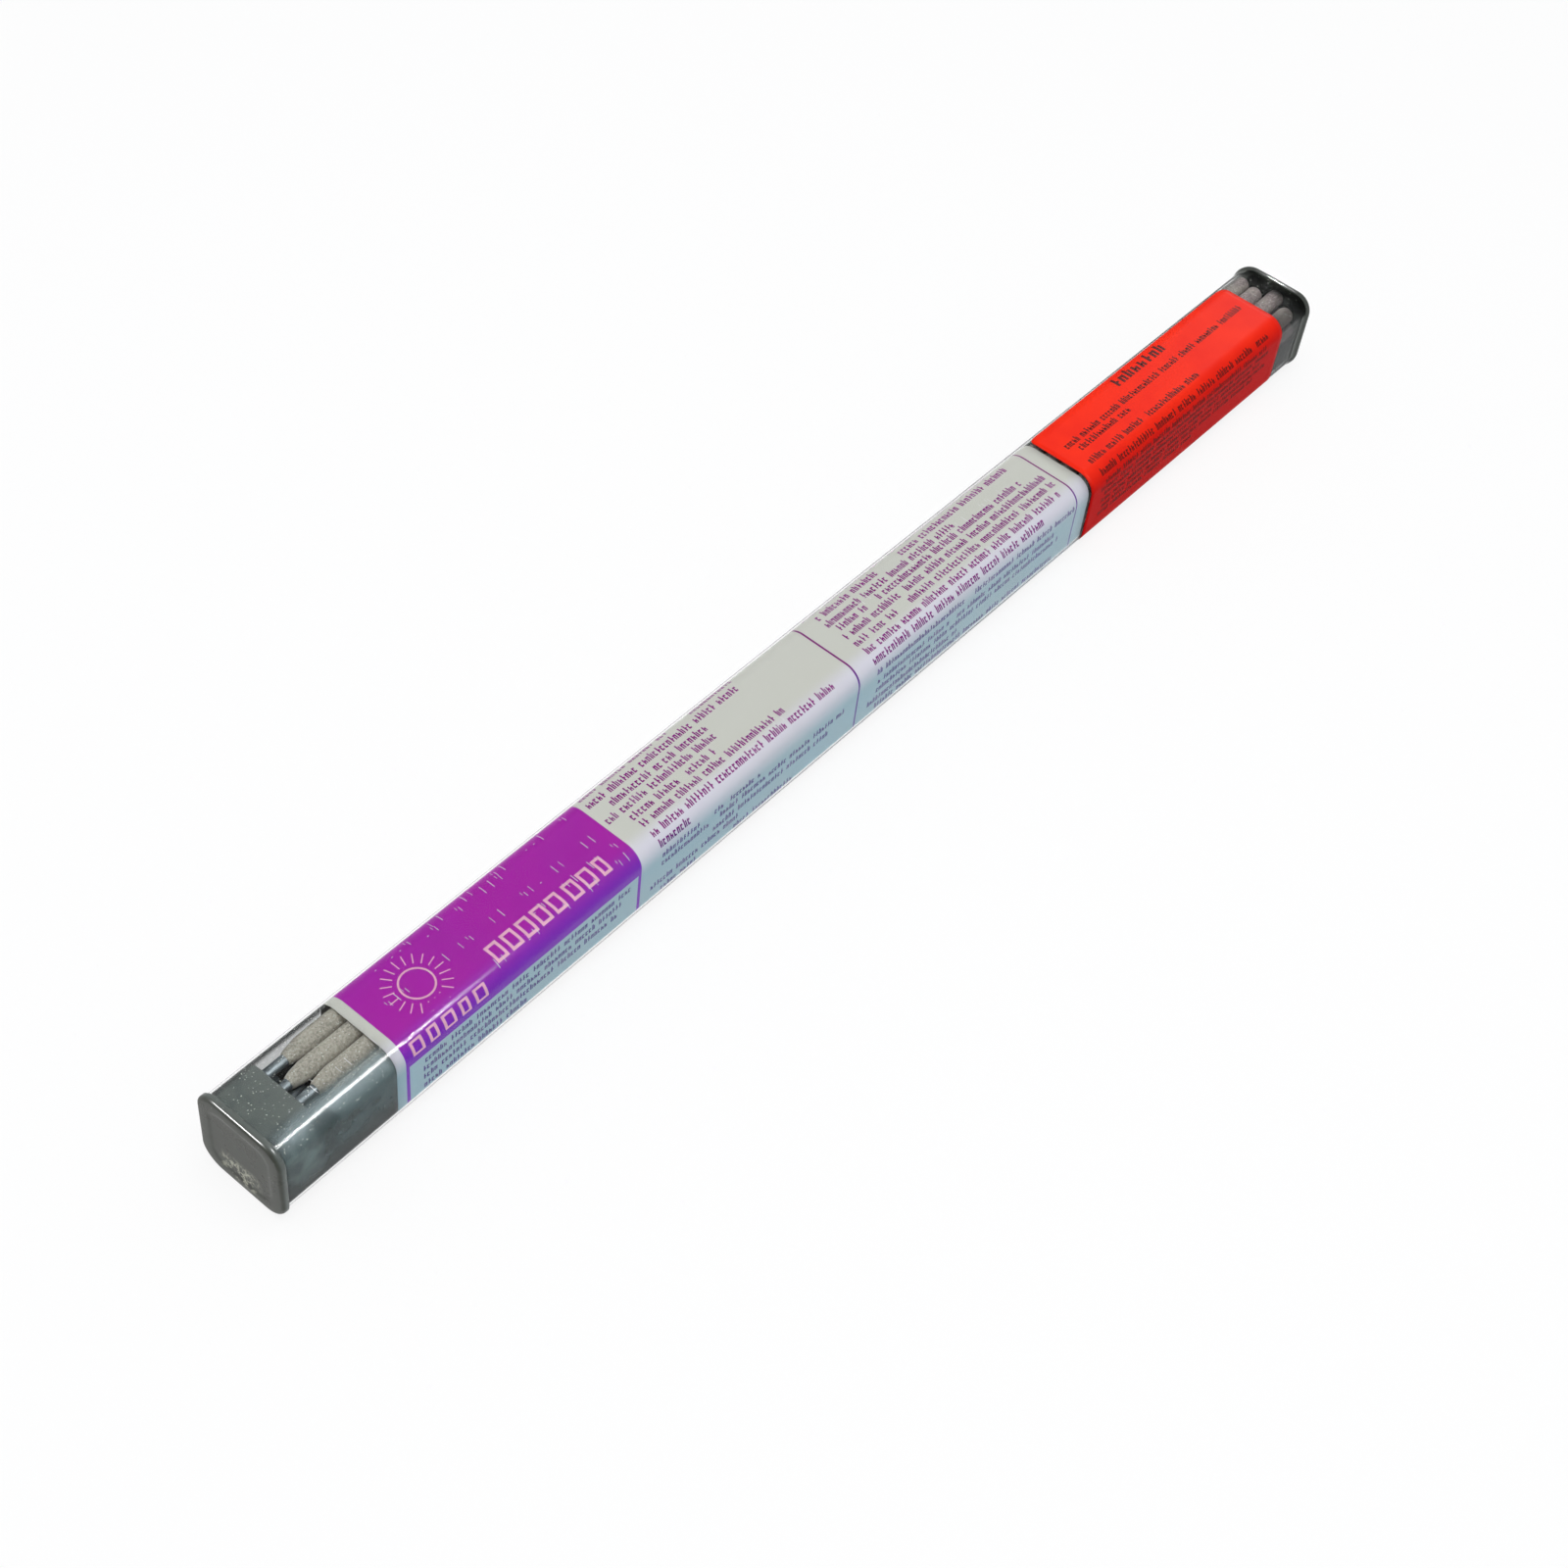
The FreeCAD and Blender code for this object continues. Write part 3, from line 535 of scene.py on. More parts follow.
def makePaintedShadeFilmMaterial(group):
    # Painted reflection and painted shade on a film inside the wall: none on the top, a grey-green painted
    # reflection down the near side, painted shade elsewhere
    look = {"topReflection": (0.34, 0.41, 0.42, 1), "sideReflection": (0.058, 0.098, 0.104, 1),
            "dark": (0.006, 0.008, 0.008, 1),
            "reflectionOverPlug": (0.14, 0.20, 0.20, 1), "cover": 0.84, "farCover": 0.9, "farShare": 0.3,
            "farEndShare": 0.3, "soft": 2.5 * mm, "farEnd": 120 * mm}
    material, tree, shader, place, _ = startMaterial("paintedShadeFilm")
    along, way = flatPlace(tree)
    grainOut = grain(tree, group, place, 700.0, 150.0)
    inner = plugHigh.x
    sideReflection = stain(tree, along, inner - look["soft"], inner + look["soft"], 1.0, look["reflectionOverPlug"], look["sideReflection"])
    colour = stain(tree, way, 8.5 * mm, 14 * mm, 1.0, look["topReflection"], sideReflection)
    colour = stain(tree, way, 16 * mm, 28 * mm, 1.0, colour, look["dark"])
    colour = stain(tree, way, -2 * mm, -5 * mm, 1.0, colour, look["dark"])
    colour = stain(tree, along, 0, look["farEnd"], 1.0, colour, look["dark"])
    colour = stain(tree, grainOut["Blotch"], 0.42, 0.62, 0.55, colour, look["dark"])
    feed(tree, colour, shader.inputs["Base Color"])
    nearSide = rise(tree, way, 4.6 * mm, 9.5 * mm, 0.0, look["cover"])
    clearer = rise(tree, along, 0, look["farEnd"], 1.0, look["farEndShare"])
    clearer = calc(tree, "MAXIMUM", clearer, rise(tree, way, 15 * mm, 19 * mm))
    nearSide = calc(tree, "MULTIPLY", nearSide, clearer)
    farSide = rise(tree, way, -7.2 * mm, -11.5 * mm, 0.0, look["farCover"])
    farSide = calc(tree, "MULTIPLY", farSide, rise(tree, way, -12 * mm, -15 * mm, 1.0, look["farShare"]))
    cover = calc(tree, "MAXIMUM", nearSide, farSide)
    cover = calc(tree, "MULTIPLY", cover, rise(tree, grainOut["Height"], 0.2, 0.7, 0.9, 1.0))
    feed(tree, cover, shader.inputs["Alpha"])
    feed(tree, rise(tree, grainOut["Blotch"], 0.3, 0.7, 0.45, 0.6), shader.inputs["Roughness"])
    shader.inputs["Specular IOR Level"].default_value = 0.05
    return material


def makePlugMaterial(group):
    look = {"skirt": (0.108, 0.124, 0.116, 1), "face": (0.040, 0.043, 0.033, 1),
            "mark": (0.46, 0.46, 0.36, 1), "blotch": (0.13, 0.145, 0.13, 1), "speck": (0.42, 0.45, 0.42, 1), "speckShare": 0.6,
            "markLow": -9.2 * mm, "markHigh": -3.6 * mm, "markFar": -4.2 * mm, "markNear": 5.4 * mm}
    material, tree, shader, place, _ = startMaterial("frostedPlug")
    along, across, up = parted(tree, place)
    grainOut = grain(tree, group, place, 1500.0, 180.0, 0.16)
    # The end face takes a darker copy of the plug's colour: painted shade on the face.
    onShadedFace = rise(tree, along, plugLow.x + 1.0 * mm, plugLow.x + 0.2 * mm)
    colour = blendColour(tree, onShadedFace, look["skirt"], look["face"])
    colour = stain(tree, grainOut["Blotch"], 0.35, 0.7, 0.3, colour, look["blotch"])
    low = band(tree, up, axisHeight + look["markLow"], axisHeight + look["markHigh"], 1.6 * mm)
    middle = band(tree, across, look["markFar"], look["markNear"], 1.8 * mm)
    marked = calc(tree, "MULTIPLY", calc(tree, "MULTIPLY", low, middle), onShadedFace)
    ragged = addNode(tree, "ShaderNodeTexNoise", {
        "Vector": place, "Scale": 620.0, "Detail": 6.0, "Roughness": 0.75})
    marked = calc(tree, "MULTIPLY", marked, rise(tree, ragged.outputs[0], 0.49, 0.57))
    colour = blendColour(tree, marked, colour, look["mark"])
    specks = calc(tree, "MULTIPLY", grainOut["Speck"], look["speckShare"])
    colour = blendColour(tree, specks, colour, look["speck"])
    feed(tree, colour, shader.inputs["Base Color"])
    feed(tree, rise(tree, grainOut["Blotch"], 0.3, 0.7, 0.24, 0.36), shader.inputs["Roughness"])
    feed(tree, bump(tree, grainOut["Height"], 0.3, 0.04 * mm), shader.inputs["Normal"])
    shader.inputs["Specular IOR Level"].default_value = 0.12
    return material


def makeFluxMaterial(group):
    look = {"grip": (0.35, 0.325, 0.27, 1), "tip": (0.25, 0.19, 0.19, 1), "dust": (0.11, 0.10, 0.08, 1),
            "pale": (0.56, 0.53, 0.45, 1), "blotch": (0.42, 0.39, 0.32, 1), "speckShare": 0.7,
            "shadedGrip": (0.015, 0.015, 0.013, 1), "shadedTip": (0.14, 0.098, 0.105, 1),
            "shadeFrom": axisHeight + 5.2 * mm, "shadeTo": axisHeight + 8.0 * mm}
    material, tree, shader, place, _ = startMaterial("fluxCoating")
    along, _, up = parted(tree, place)
    toTip = rise(tree, along, -100 * mm, 100 * mm)
    grainOut = grain(tree, group, place, 1900.0, 260.0, 0.28)
    colour = blendColour(tree, toTip, look["grip"], look["tip"])
    colour = blendColour(tree, rise(tree, grainOut["Height"], 0.36, 0.50, 0.55, 0.0), colour, look["dust"])
    colour = stain(tree, grainOut["Height"], 0.52, 0.64, 0.5, colour, look["pale"])
    colour = stain(tree, grainOut["Blotch"], 0.35, 0.7, 0.35, colour, look["blotch"])
    specks = calc(tree, "MULTIPLY", grainOut["Speck"], look["speckShare"])
    colour = blendColour(tree, specks, colour, look["dust"])
    # Painted shade: the rods below the upper row are darkened where the upper rods shade them, less at the
    # tip end
    lowerRodShade = blendColour(tree, toTip, look["shadedGrip"], look["shadedTip"])
    colour = stain(tree, up, look["shadeFrom"], look["shadeTo"], 1.0, lowerRodShade, colour)
    feed(tree, colour, shader.inputs["Base Color"])
    feed(tree, rise(tree, grainOut["Height"], 0.2, 0.8, 0.85, 0.98), shader.inputs["Roughness"])
    shader.inputs["Specular IOR Level"].default_value = 0.2
    feed(tree, bump(tree, grainOut["Height"], 0.8, 0.10 * mm), shader.inputs["Normal"])
    return material


def makeWireMaterial(group):
    material, tree, shader, place, _ = startMaterial("coreWire")
    grainOut = grain(tree, group, place, 1600.0, 240.0, 0.2)
    colour = blendColour(tree, grainOut["Blotch"], (0.022, 0.030, 0.034, 1), (0.060, 0.072, 0.078, 1))
    feed(tree, colour, shader.inputs["Base Color"])
    shader.inputs["Metallic"].default_value = 0.5
    feed(tree, rise(tree, grainOut["Blotch"], 0.3, 0.7, 0.5, 0.65), shader.inputs["Roughness"])
    feed(tree, bump(tree, grainOut["Height"], 0.3, 0.03 * mm), shader.inputs["Normal"])
    return material


def makePlainMaterial(name, colour, roughness, group, variation=0.3, cover=1.0):
    material, tree, shader, place, _ = startMaterial(name)
    grainOut = grain(tree, group, place, 2000.0, 500.0)
    darker = tuple(part * 0.6 for part in colour[:3]) + (1,)
    colour = stain(tree, grainOut["Blotch"], 0.3, 0.7, variation, colour, darker)
    feed(tree, colour, shader.inputs["Base Color"])
    feed(tree, rise(tree, grainOut["Height"], 0.2, 0.8, roughness - 0.05, roughness + 0.05),
         shader.inputs["Roughness"])
    shader.inputs["Specular IOR Level"].default_value = 0.04
    shader.inputs["Alpha"].default_value = cover
    return material


# Shells: a pile of rounded squares along the tube, each (station, half width, corner), joined in order
def squareRing(station, half, corner, steps):
    ring = []
    for sideY, sideZ, start in ((1, 1, 0), (-1, 1, 90), (-1, -1, 180), (1, -1, 270)):
        for step in range(steps + 1):
            angle = math.radians(start + 90 * step / steps)
            ring.append(Vector((station, sideY * (half - corner) + corner * math.cos(angle),
                                axisHeight + sideZ * (half - corner) + corner * math.sin(angle))))
    return ring


def loftShell(name, stations, steps=14):
    rings = [squareRing(*station, steps) for station in stations]
    points = [point for ring in rings for point in ring]
    count = len(rings[0])
    faces = []
    for row in range(len(rings) - 1):
        for turn in range(count):
            following = (turn + 1) % count
            faces.append((row * count + turn, row * count + following,
                          (row + 1) * count + following, (row + 1) * count + turn))
    for row, flip in ((0, True), (len(rings) - 1, False)):
        centre = len(points)
        points.append(Vector((rings[row][0].x, 0, axisHeight)))
        for turn in range(count):
            face = (row * count + turn, row * count + (turn + 1) % count, centre)
            faces.append(face[::-1] if flip else face)
    mesh = bpy.data.meshes.new(name)
    mesh.from_pydata(points, [], faces)
    mesh.update()
    return mesh


def pointOutwards(mesh):
    volume = 0.0
    for polygon in mesh.polygons:
        corners = [mesh.vertices[index].co for index in polygon.vertices]
        for turn in range(1, len(corners) - 1):
            volume += corners[0].dot(corners[turn].cross(corners[turn + 1]))
    if volume < 0:
        mesh.flip_normals()


def shellPiece(name, mesh, material, sharpAngle=35):
    pointOutwards(mesh)
    mesh.shade_smooth()
    mesh.set_sharp_from_angle(angle=math.radians(sharpAngle))
    mesh.materials.append(material)
    piece = bpy.data.objects.new(name, mesh)
    bpy.context.scene.collection.objects.link(piece)
    return piece


def roundedEnd(end, half, corner, radius, steps=6):
    # Stations of a quarter round that closes a shell on to its end wall
    made = []
    for step in range(steps + 1):
        angle = math.pi / 2 * step / steps
        inset = radius * (1 - math.cos(angle))
        station = end - radius + radius * math.sin(angle)
        made.append((station, half - inset, max(corner - inset, tube["leastCorner"])))
    return made


def makeTube(material):
    end = tubeHigh.x
    beadCorner = tube["corner"] + beadHalf - tubeHalf
    insideCorner = tube["corner"] - tube["wall"]
    insideEnd = end - tube["endWall"]
    beadRoot = end - tube["beadLength"]
    inner = roundedEnd(insideEnd, insideHalf, insideCorner, tube["innerRound"])[::-1]
    outer = [(openEnd, tubeHalf, tube["corner"]), (openEnd + tube["firstRing"], tubeHalf, tube["corner"]),
             (beadRoot - 3 * tube["beadLead"], tubeHalf, tube["corner"]),
             (beadRoot - tube["beadLead"], tubeHalf, tube["corner"])]
    for step in range(1, tube["beadSteps"] + 1):
        share = step / tube["beadSteps"]
        swell = (1 - math.cos(math.pi * share)) / 2 * (beadHalf - tubeHalf)
        station = beadRoot + tube["beadLead"] * (share - 1) + share * tube["beadSwell"]
        outer.append((station, tubeHalf + swell, tube["corner"] + swell))
    outer += roundedEnd(end, beadHalf, beadCorner, tube["endRound"], 8)
    stations = inner + [(openEnd, insideHalf, insideCorner)] + outer
    mesh = loftShell("tubeShell", stations)
    # The moulded end is drawn up a little along its foot
    for vertex in mesh.vertices:
        reach = min(max((vertex.co.x - beadRoot) / tube["beadLength"], 0), 1)
        low = min(max((axisHeight - vertex.co.z) / beadHalf, 0), 1)
        vertex.co.z += tube["footLift"] * reach * low ** 2
    return shellPiece("clearTube", mesh, material)


def makePlug(material):
    plug = {"lip": 1.8 * mm, "lipRound": 0.9 * mm, "face": 1.2 * mm, "dish": 0.14 * mm, "dishRim": 2.2 * mm,
            "skirtGap": 0.05 * mm, "skirtWall": 0.8 * mm, "lead": 0.35 * mm, "lipEdge": 0.3 * mm,
            "wobble": 0.32 * mm, "wobbleScale": 190}
    front = plugLow.x
    back = openEnd
    lipHalf = (plugHigh.y - plugLow.y) / 2
    lipCorner = tube["corner"] + lipHalf - tubeHalf
    skirtHalf = insideHalf - plug["skirtGap"]
    skirtCorner = tube["corner"] - tube["wall"] - plug["skirtGap"]
    boreHalf = skirtHalf - plug["skirtWall"]
    dishHalf = tubeHalf - plug["dishRim"]
    dishCorner = tube["corner"] - plug["dishRim"] / 2
    stations = [(front + plug["dish"] * 1.05, dishHalf * 0.35, dishCorner * 0.35),
                (front + plug["dish"], dishHalf * 0.7, dishCorner * 0.7)]
    for step in range(5):
        share = step / 4
        stations.append((front + plug["dish"] * (1 + math.cos(math.pi * share)) / 2,
                         dishHalf * (0.86 + 0.14 * share), dishCorner * (0.86 + 0.14 * share)))
    for step in range(7):
        angle = math.pi / 2 * step / 6
        inset = plug["lipRound"] * (1 - math.sin(angle))
        station = front + plug["lipRound"] * (1 - math.cos(angle))
        stations.append((station, lipHalf - inset, lipCorner - inset))
    edge = plug["lipEdge"]
    stations += [(back - edge, lipHalf, lipCorner), (back, lipHalf - edge, lipCorner - edge),
                 (back, skirtHalf, skirtCorner), (plugHigh.x - plug["lead"], skirtHalf, skirtCorner),
                 (plugHigh.x, skirtHalf - plug["lead"], skirtCorner - plug["lead"]),
                 (plugHigh.x, boreHalf, skirtCorner - plug["skirtWall"]),
                 (front + plug["face"], boreHalf, skirtCorner - plug["skirtWall"])]
    mesh = loftShell("plugShell", stations)
    # The lip is soft: it waves a little, and its foot is drawn in where it was moulded
    for vertex in mesh.vertices:
        if vertex.co.x > back - plug["lipEdge"] / 2:
            continue
        soft = 1 - (vertex.co.x - front) / (back - front)
        push = noise.noise(vertex.co * plug["wobbleScale"]) * plug["wobble"]
        outward = Vector((0, vertex.co.y, vertex.co.z - axisHeight))
        reach = min(outward.length / lipHalf, 1.0)
        vertex.co += outward.normalized() * push * soft * reach
        vertex.co.x -= abs(push) * 0.5 * soft * (1 - reach)
    return shellPiece("endPlug", mesh, material, 50)


# Coated rods: each is a run of points along the rod, thickened to a brushed taper and a round tip
def makeRodTree():
    tree, given, made = newTree("coatedRods", ["Radius", "Bore", "Taper", "Tip Round", "Roughness", "Seed"])
    lines = addNode(tree, "GeometryNodeMeshToCurve", {0: given["Geometry"]})
    gone = addNode(tree, "GeometryNodeSplineParameter").outputs["Length"]
    whole = addNode(tree, "GeometryNodeSplineLength").outputs["Length"]
    left = calc(tree, "SUBTRACT", whole, gone)
    startShare = held(tree, calc(tree, "DIVIDE", gone, given["Taper"]), 0.0, 1.0)
    boreShare = calc(tree, "DIVIDE", given["Bore"], given["Radius"])
    tapered = calc(tree, "MULTIPLY_ADD", calc(tree, "POWER", startShare, 0.7),
                   calc(tree, "SUBTRACT", 1.0, boreShare), boreShare)
    tipShare = held(tree, calc(tree, "DIVIDE", left, given["Tip Round"]), 0.0, 1.0)
    fromFull = calc(tree, "SUBTRACT", 1.0, tipShare)
    lost = calc(tree, "MULTIPLY", calc(tree, "MULTIPLY", fromFull, fromFull), 0.72)
    tip = calc(tree, "SQRT", calc(tree, "MAXIMUM", calc(tree, "SUBTRACT", 1.0, lost), 0.0))
    size = calc(tree, "MULTIPLY", calc(tree, "MULTIPLY", tapered, tip), given["Radius"])
    ring = addNode(tree, "GeometryNodeCurvePrimitiveCircle", {"Resolution": 30, "Radius": 1.0})
    sized = addNode(tree, "GeometryNodeSetCurveRadius", {"Curve": lines.outputs[0], "Radius": size})
    solid = addNode(tree, "GeometryNodeCurveToMesh", {
        "Curve": sized.outputs[0], "Profile Curve": ring.outputs[0], "Fill Caps": True})
    if "Scale" in solid.inputs:
        feed(tree, size, solid.inputs["Scale"])
    rough = addNode(tree, "ShaderNodeTexNoise", {
        "Vector": placeOf(tree), "Scale": 520.0, "Detail": 3.0, "Roughness": 0.6, "W": given["Seed"]},
        noise_dimensions="4D").outputs[0]
    push = calc(tree, "MULTIPLY", calc(tree, "SUBTRACT", rough, 0.5), given["Roughness"])
    normal = addNode(tree, "GeometryNodeInputNormal").outputs[0]
    shift = addNode(tree, "ShaderNodeVectorMath", {0: normal, "Scale": push}, operation="SCALE").outputs[0]
    moved = addNode(tree, "GeometryNodeSetPosition", {"Geometry": solid.outputs[0], "Offset": shift})
    finishTree(tree, moved.outputs[0], given["Material"], made[0])
    return tree


def rodStations(low, high, lean):
    # Close points where the taper and the tip are, and far ones between
    rod = {"radius": (high.z - low.z) / 2, "close": 0.35 * mm, "taper": 7 * mm, "tip": 2.2 * mm}
    across = low.y + rod["radius"] if lean >= 0 else high.y - rod["radius"]
    near = Vector((low.x, across, (low.z + high.z) / 2))
    far = Vector((high.x, near.y + lean, near.z))
    whole = (far - near).length
    spots = [rod["close"] * step for step in range(int(rod["taper"] / rod["close"]) + 1)]
    spots += [rod["taper"] + (whole - rod["tip"] - rod["taper"]) * step / 24 for step in range(1, 24)]
    spots += [whole - rod["tip"] + rod["tip"] * step / 9 for step in range(10)]
    return [near.lerp(far, spot / whole) for spot in spots]


def makeRods(tree, material):
    coats = {"taper": 4.2 * mm, "tipRound": 1.3 * mm, "roughness": 0.34 * mm, "ragged": 1.2 * mm,
             "skin": 0.05 * mm, "slack": 0.12 * mm, "seed": 3.0,
             "longer": {"flux_coating_17": 3.2 * mm, "flux_coating_18": 2.2 * mm}}
    names = sorted(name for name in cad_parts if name.startswith("flux_coating"))
    mesh = bpy.data.meshes.new("rodLines")
    points = []
    edges = []
    chance = random.Random(11)
    for name in names:
        low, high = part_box(name)
        low.x -= chance.uniform(-0.4, 1.0) * coats["ragged"] + coats["longer"].get(name, 0)
        lean = (high.y - low.y) - (high.z - low.z)
        stations = rodStations(low, high, lean)
        first = len(points)
        points += stations
        edges += [(first + step, first + step + 1) for step in range(len(stations) - 1)]
    mesh.from_pydata(points, edges, [])
    wireLow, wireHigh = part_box("core_wire_01")
    coatLow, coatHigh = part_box("flux_coating_01")
    values = {"Radius": (coatHigh.z - coatLow.z) / 2 - coats["skin"],
              "Bore": (wireHigh.z - wireLow.z) / 2 + coats["slack"], "Taper": coats["taper"],
              "Tip Round": coats["tipRound"], "Roughness": coats["roughness"], "Seed": coats["seed"],
              "Material": material}
    piece = runTree("fluxCoatings", tree, values, mesh)
    settlePiece(piece, "pack", names)


# The print, measured from the open end of the tube: rows of (baseline, start, end), in millimetres
printStart = openEnd - 0.9 * mm
inkThickness = 0.04 * mm
smallPrint = {
    "topSecond": {"height": 2.05, "pitch": 1.08, "group": 8.5, "gap": 0.10, "rows": [
        (-8.6, 102.5, 129.0), (-8.6, 137.5, 150.2), (-5.5, 102.2, 149.1), (-2.6, 106.4, 121.1),
        (-2.6, 122.9, 136.7), (0.2, 102.1, 135.3), (3.1, 106.5, 120.2), (3.1, 122.8, 131.9),
        (5.9, 106.6, 151.4), (8.9, 106.5, 165.0), (11.8, 106.9, 115.6)]},
    "sideSecond": {"height": 1.8, "pitch": 1.0, "group": 8.0, "gap": 0.10, "rows": [
        (15.2, 107.4, 118.3), (15.2, 123.9, 138.0), (17.8, 107.3, 121.4), (17.8, 123.9, 167.1),
        (20.9, 123.9, 161.7), (23.5, 103.1, 131.6), (26.4, 107.5, 118.0), (26.4, 130.1, 150.0)]},
    "topThird": {"height": 2.05, "pitch": 1.08, "group": 8.5, "gap": 0.10, "rows": [
        (-9.4, 176.0, 244.0), (-6.3, 178.4, 198.7), (-6.3, 208.2, 247.9), (-3.4, 178.3, 223.8),
        (-0.9, 178.5, 188.5), (-0.9, 193.6, 246.7), (1.95, 178.5, 252.4), (4.9, 178.5, 192.5),
        (4.9, 196.9, 252.6), (7.9, 178.6, 250.6), (10.8, 178.6, 241.5)]},
    "sideThird": {"height": 1.8, "pitch": 1.0, "group": 8.0, "gap": 0.10, "rows": [
        (14.1, 179.1, 210.3), (14.1, 214.0, 253.5), (17.5, 179.8, 205.1), (17.5, 209.0, 246.0),
        (20.2, 179.6, 248.3), (23.2, 175.9, 209.3), (25.8, 179.9, 247.3)]},
    "sideFirst": {"height": 1.8, "pitch": 1.0, "group": 8.0, "gap": 0.10, "rows": [
        (17.5, 38.1, 96.8), (20.2, 37.5, 95.1), (22.9, 37.5, 92.8), (25.8, 37.7, 65.9)]},
    "titleBlocks": {"height": 4.5, "pitch": 4.25, "group": 400.0, "gap": 0.0, "rows": [
        (8.5, 62.1, 79.2), (8.6, 84.0, 92.6)]},
    "edgeBlocks": {"height": 3.3, "pitch": 4.3, "group": 400.0, "gap": 0.0, "rows": [(12.6, 36.4, 53.8)]},
    "scuffs": {"height": 2.2, "pitch": 2.2, "group": 9.0, "gap": 0.45, "rows": [
        (-6.6, 42.0, 98.0), (-5.2, 55.0, 80.0), (9.6, 60.0, 98.0), (6.0, 74.0, 98.0),
        (1.5, 36.0, 96.0), (5.6, 8.0, 30.0), (8.0, 120.0, 170.0), (-2.0, 180.0, 250.0)]},
    "stickerHead": {"height": 3.2, "pitch": 2.6, "group": 400.0, "gap": 0.0, "rows": [(-4.8, 293.2, 312.0)]},
    "stickerTop": {"height": 2.0, "pitch": 1.05, "group": 8.5, "gap": 0.10, "rows": [
        (-0.1, 265.2, 340.4), (2.5, 265.3, 287.1), (7.0, 265.3, 310.6), (11.0, 265.6, 337.9)]},
    "stickerSide": {"height": 1.55, "pitch": 0.9, "group": 7.5, "gap": 0.10, "rows": [
        (13.6, 266.6, 336.7), (15.7, 265.0, 338.0), (17.8, 267.0, 335.0), (19.9, 266.0, 338.0),
        (22.0, 267.0, 333.0), (24.1, 266.0, 305.8)]},
}


def rowLines(name, rows, height):
    points = []
    for baseline, start, end in rows:
        middle = (baseline - height / 2) * mm
        points += [Vector((printStart + start * mm, middle, 0)), Vector((printStart + end * mm, middle, 0))]
    mesh = bpy.data.meshes.new(name)
    mesh.from_pydata(points, [(index, index + 1) for index in range(0, len(points), 2)], [])
    return mesh


def makePrint(tree, name, material, half, corner):
    setting = smallPrint[name]
    values = {"Pitch": setting["pitch"] * mm, "Height": setting["height"] * mm,
              "Group Length": setting["group"] * mm,
              "Gap Share": setting["gap"], "Ink Thickness": inkThickness,
              "Half Width": half, "Corner": corner,
              "Seed": len(name) * 1.7, "Material": material}
    piece = runTree(name, tree, values, rowLines(name + "Lines", setting["rows"], setting["height"]))
    settlePiece(piece, "pack")


def makeSheets(tree, paper, film):
    sheets = {"paperThickness": 0.12 * mm, "seam": 1.2 * mm, "filmThickness": 0.1 * mm, "glue": 0.02 * mm,
              "filmCut": 2.4 * mm, "line": 0.7 * mm, "topAngle": 56.0, "footAngle": 45.0}
    flat = sleeveHalf - sleeveCorner
    whole = 4 * flat + math.pi * sleeveCorner
    values = {"Start": sleeveLow.x, "Length": sleeveHigh.x - sleeveLow.x, "From": -whole + sheets["seam"] / 2,
              "To": whole - sheets["seam"] / 2, "Thickness": sheets["paperThickness"], "Cut Corner": 0.0,
              "Half Width": sleeveHalf, "Corner": sleeveCorner, "Cells Along": 60, "Cells Round": 241,
              "Material": paper}
    sleeve = runTree("paperSleeve", tree, values)
    settlePiece(sleeve, "pack", ["paper_sleeve"])
    filmHalf = tubeHalf + sheets["glue"] + sheets["filmThickness"]
    filmCorner = tube["corner"] + sheets["glue"] + sheets["filmThickness"]
    topEnd = flat + filmCorner * math.radians(90 - sheets["topAngle"])
    footEnd = 3 * flat + filmCorner * (math.pi / 2 + math.radians(sheets["footAngle"]))
    start = sleeveHigh.x + sheets["line"]
    values.update({"Start": start, "Length": stickerHigh.x - start, "From": -topEnd, "To": footEnd,
                   "Thickness": sheets["filmThickness"], "Cut Corner": sheets["filmCut"],
                   "Half Width": filmHalf, "Corner": filmCorner, "Cells Round": 181, "Material": film})
    sticker = runTree("orangeSticker", tree, values)
    settlePiece(sticker, "pack", ["orange_sticker"])
    return filmHalf, filmCorner


def makePaintedShadeFilms(tree, material):
    # A film just inside the tube's wall, one at each clear end
    shadeFilms = {"gap": 0.03 * mm, "thickness": 0.015 * mm, "seam": 0.4 * mm}
    # The films carry painted reflection and painted shade for the walls of the clear ends.
    half = insideHalf - shadeFilms["gap"]
    corner = tube["corner"] - tube["wall"] - shadeFilms["gap"]
    whole = 4 * (half - corner) + math.pi * corner
    insideEnd = tubeHigh.x - tube["endWall"]
    for name, start, end in (("nearShadeFilm", openEnd + 0.3 * mm, sleeveLow.x - 0.1 * mm),
                             ("farShadeFilm", sleeveHigh.x + 0.1 * mm, insideEnd - tube["innerRound"])):
        values = {"Start": start, "Length": end - start,
                  "From": -whole + shadeFilms["seam"], "To": whole - shadeFilms["seam"],
                  "Thickness": shadeFilms["thickness"], "Cut Corner": 0.0, "Half Width": half, "Corner": corner,
                  "Cells Along": 24, "Cells Round": 161, "Material": material}
        settlePiece(runTree(name, tree, values), "pack")


def makeFloorShade(material):
    shade = {"inset": 1.9 * mm, "off": 0.05 * mm, "thickness": 0.05 * mm}
    end = tubeHigh.x - tube["endWall"] - shade["off"]
    half = insideHalf - shade["inset"]
    corner = tube["corner"] - shade["inset"]
    mesh = loftShell("floorShade", [(end - shade["thickness"], half, corner), (end, half, corner)])
    settlePiece(shellPiece("floorShade", mesh, material), "pack")


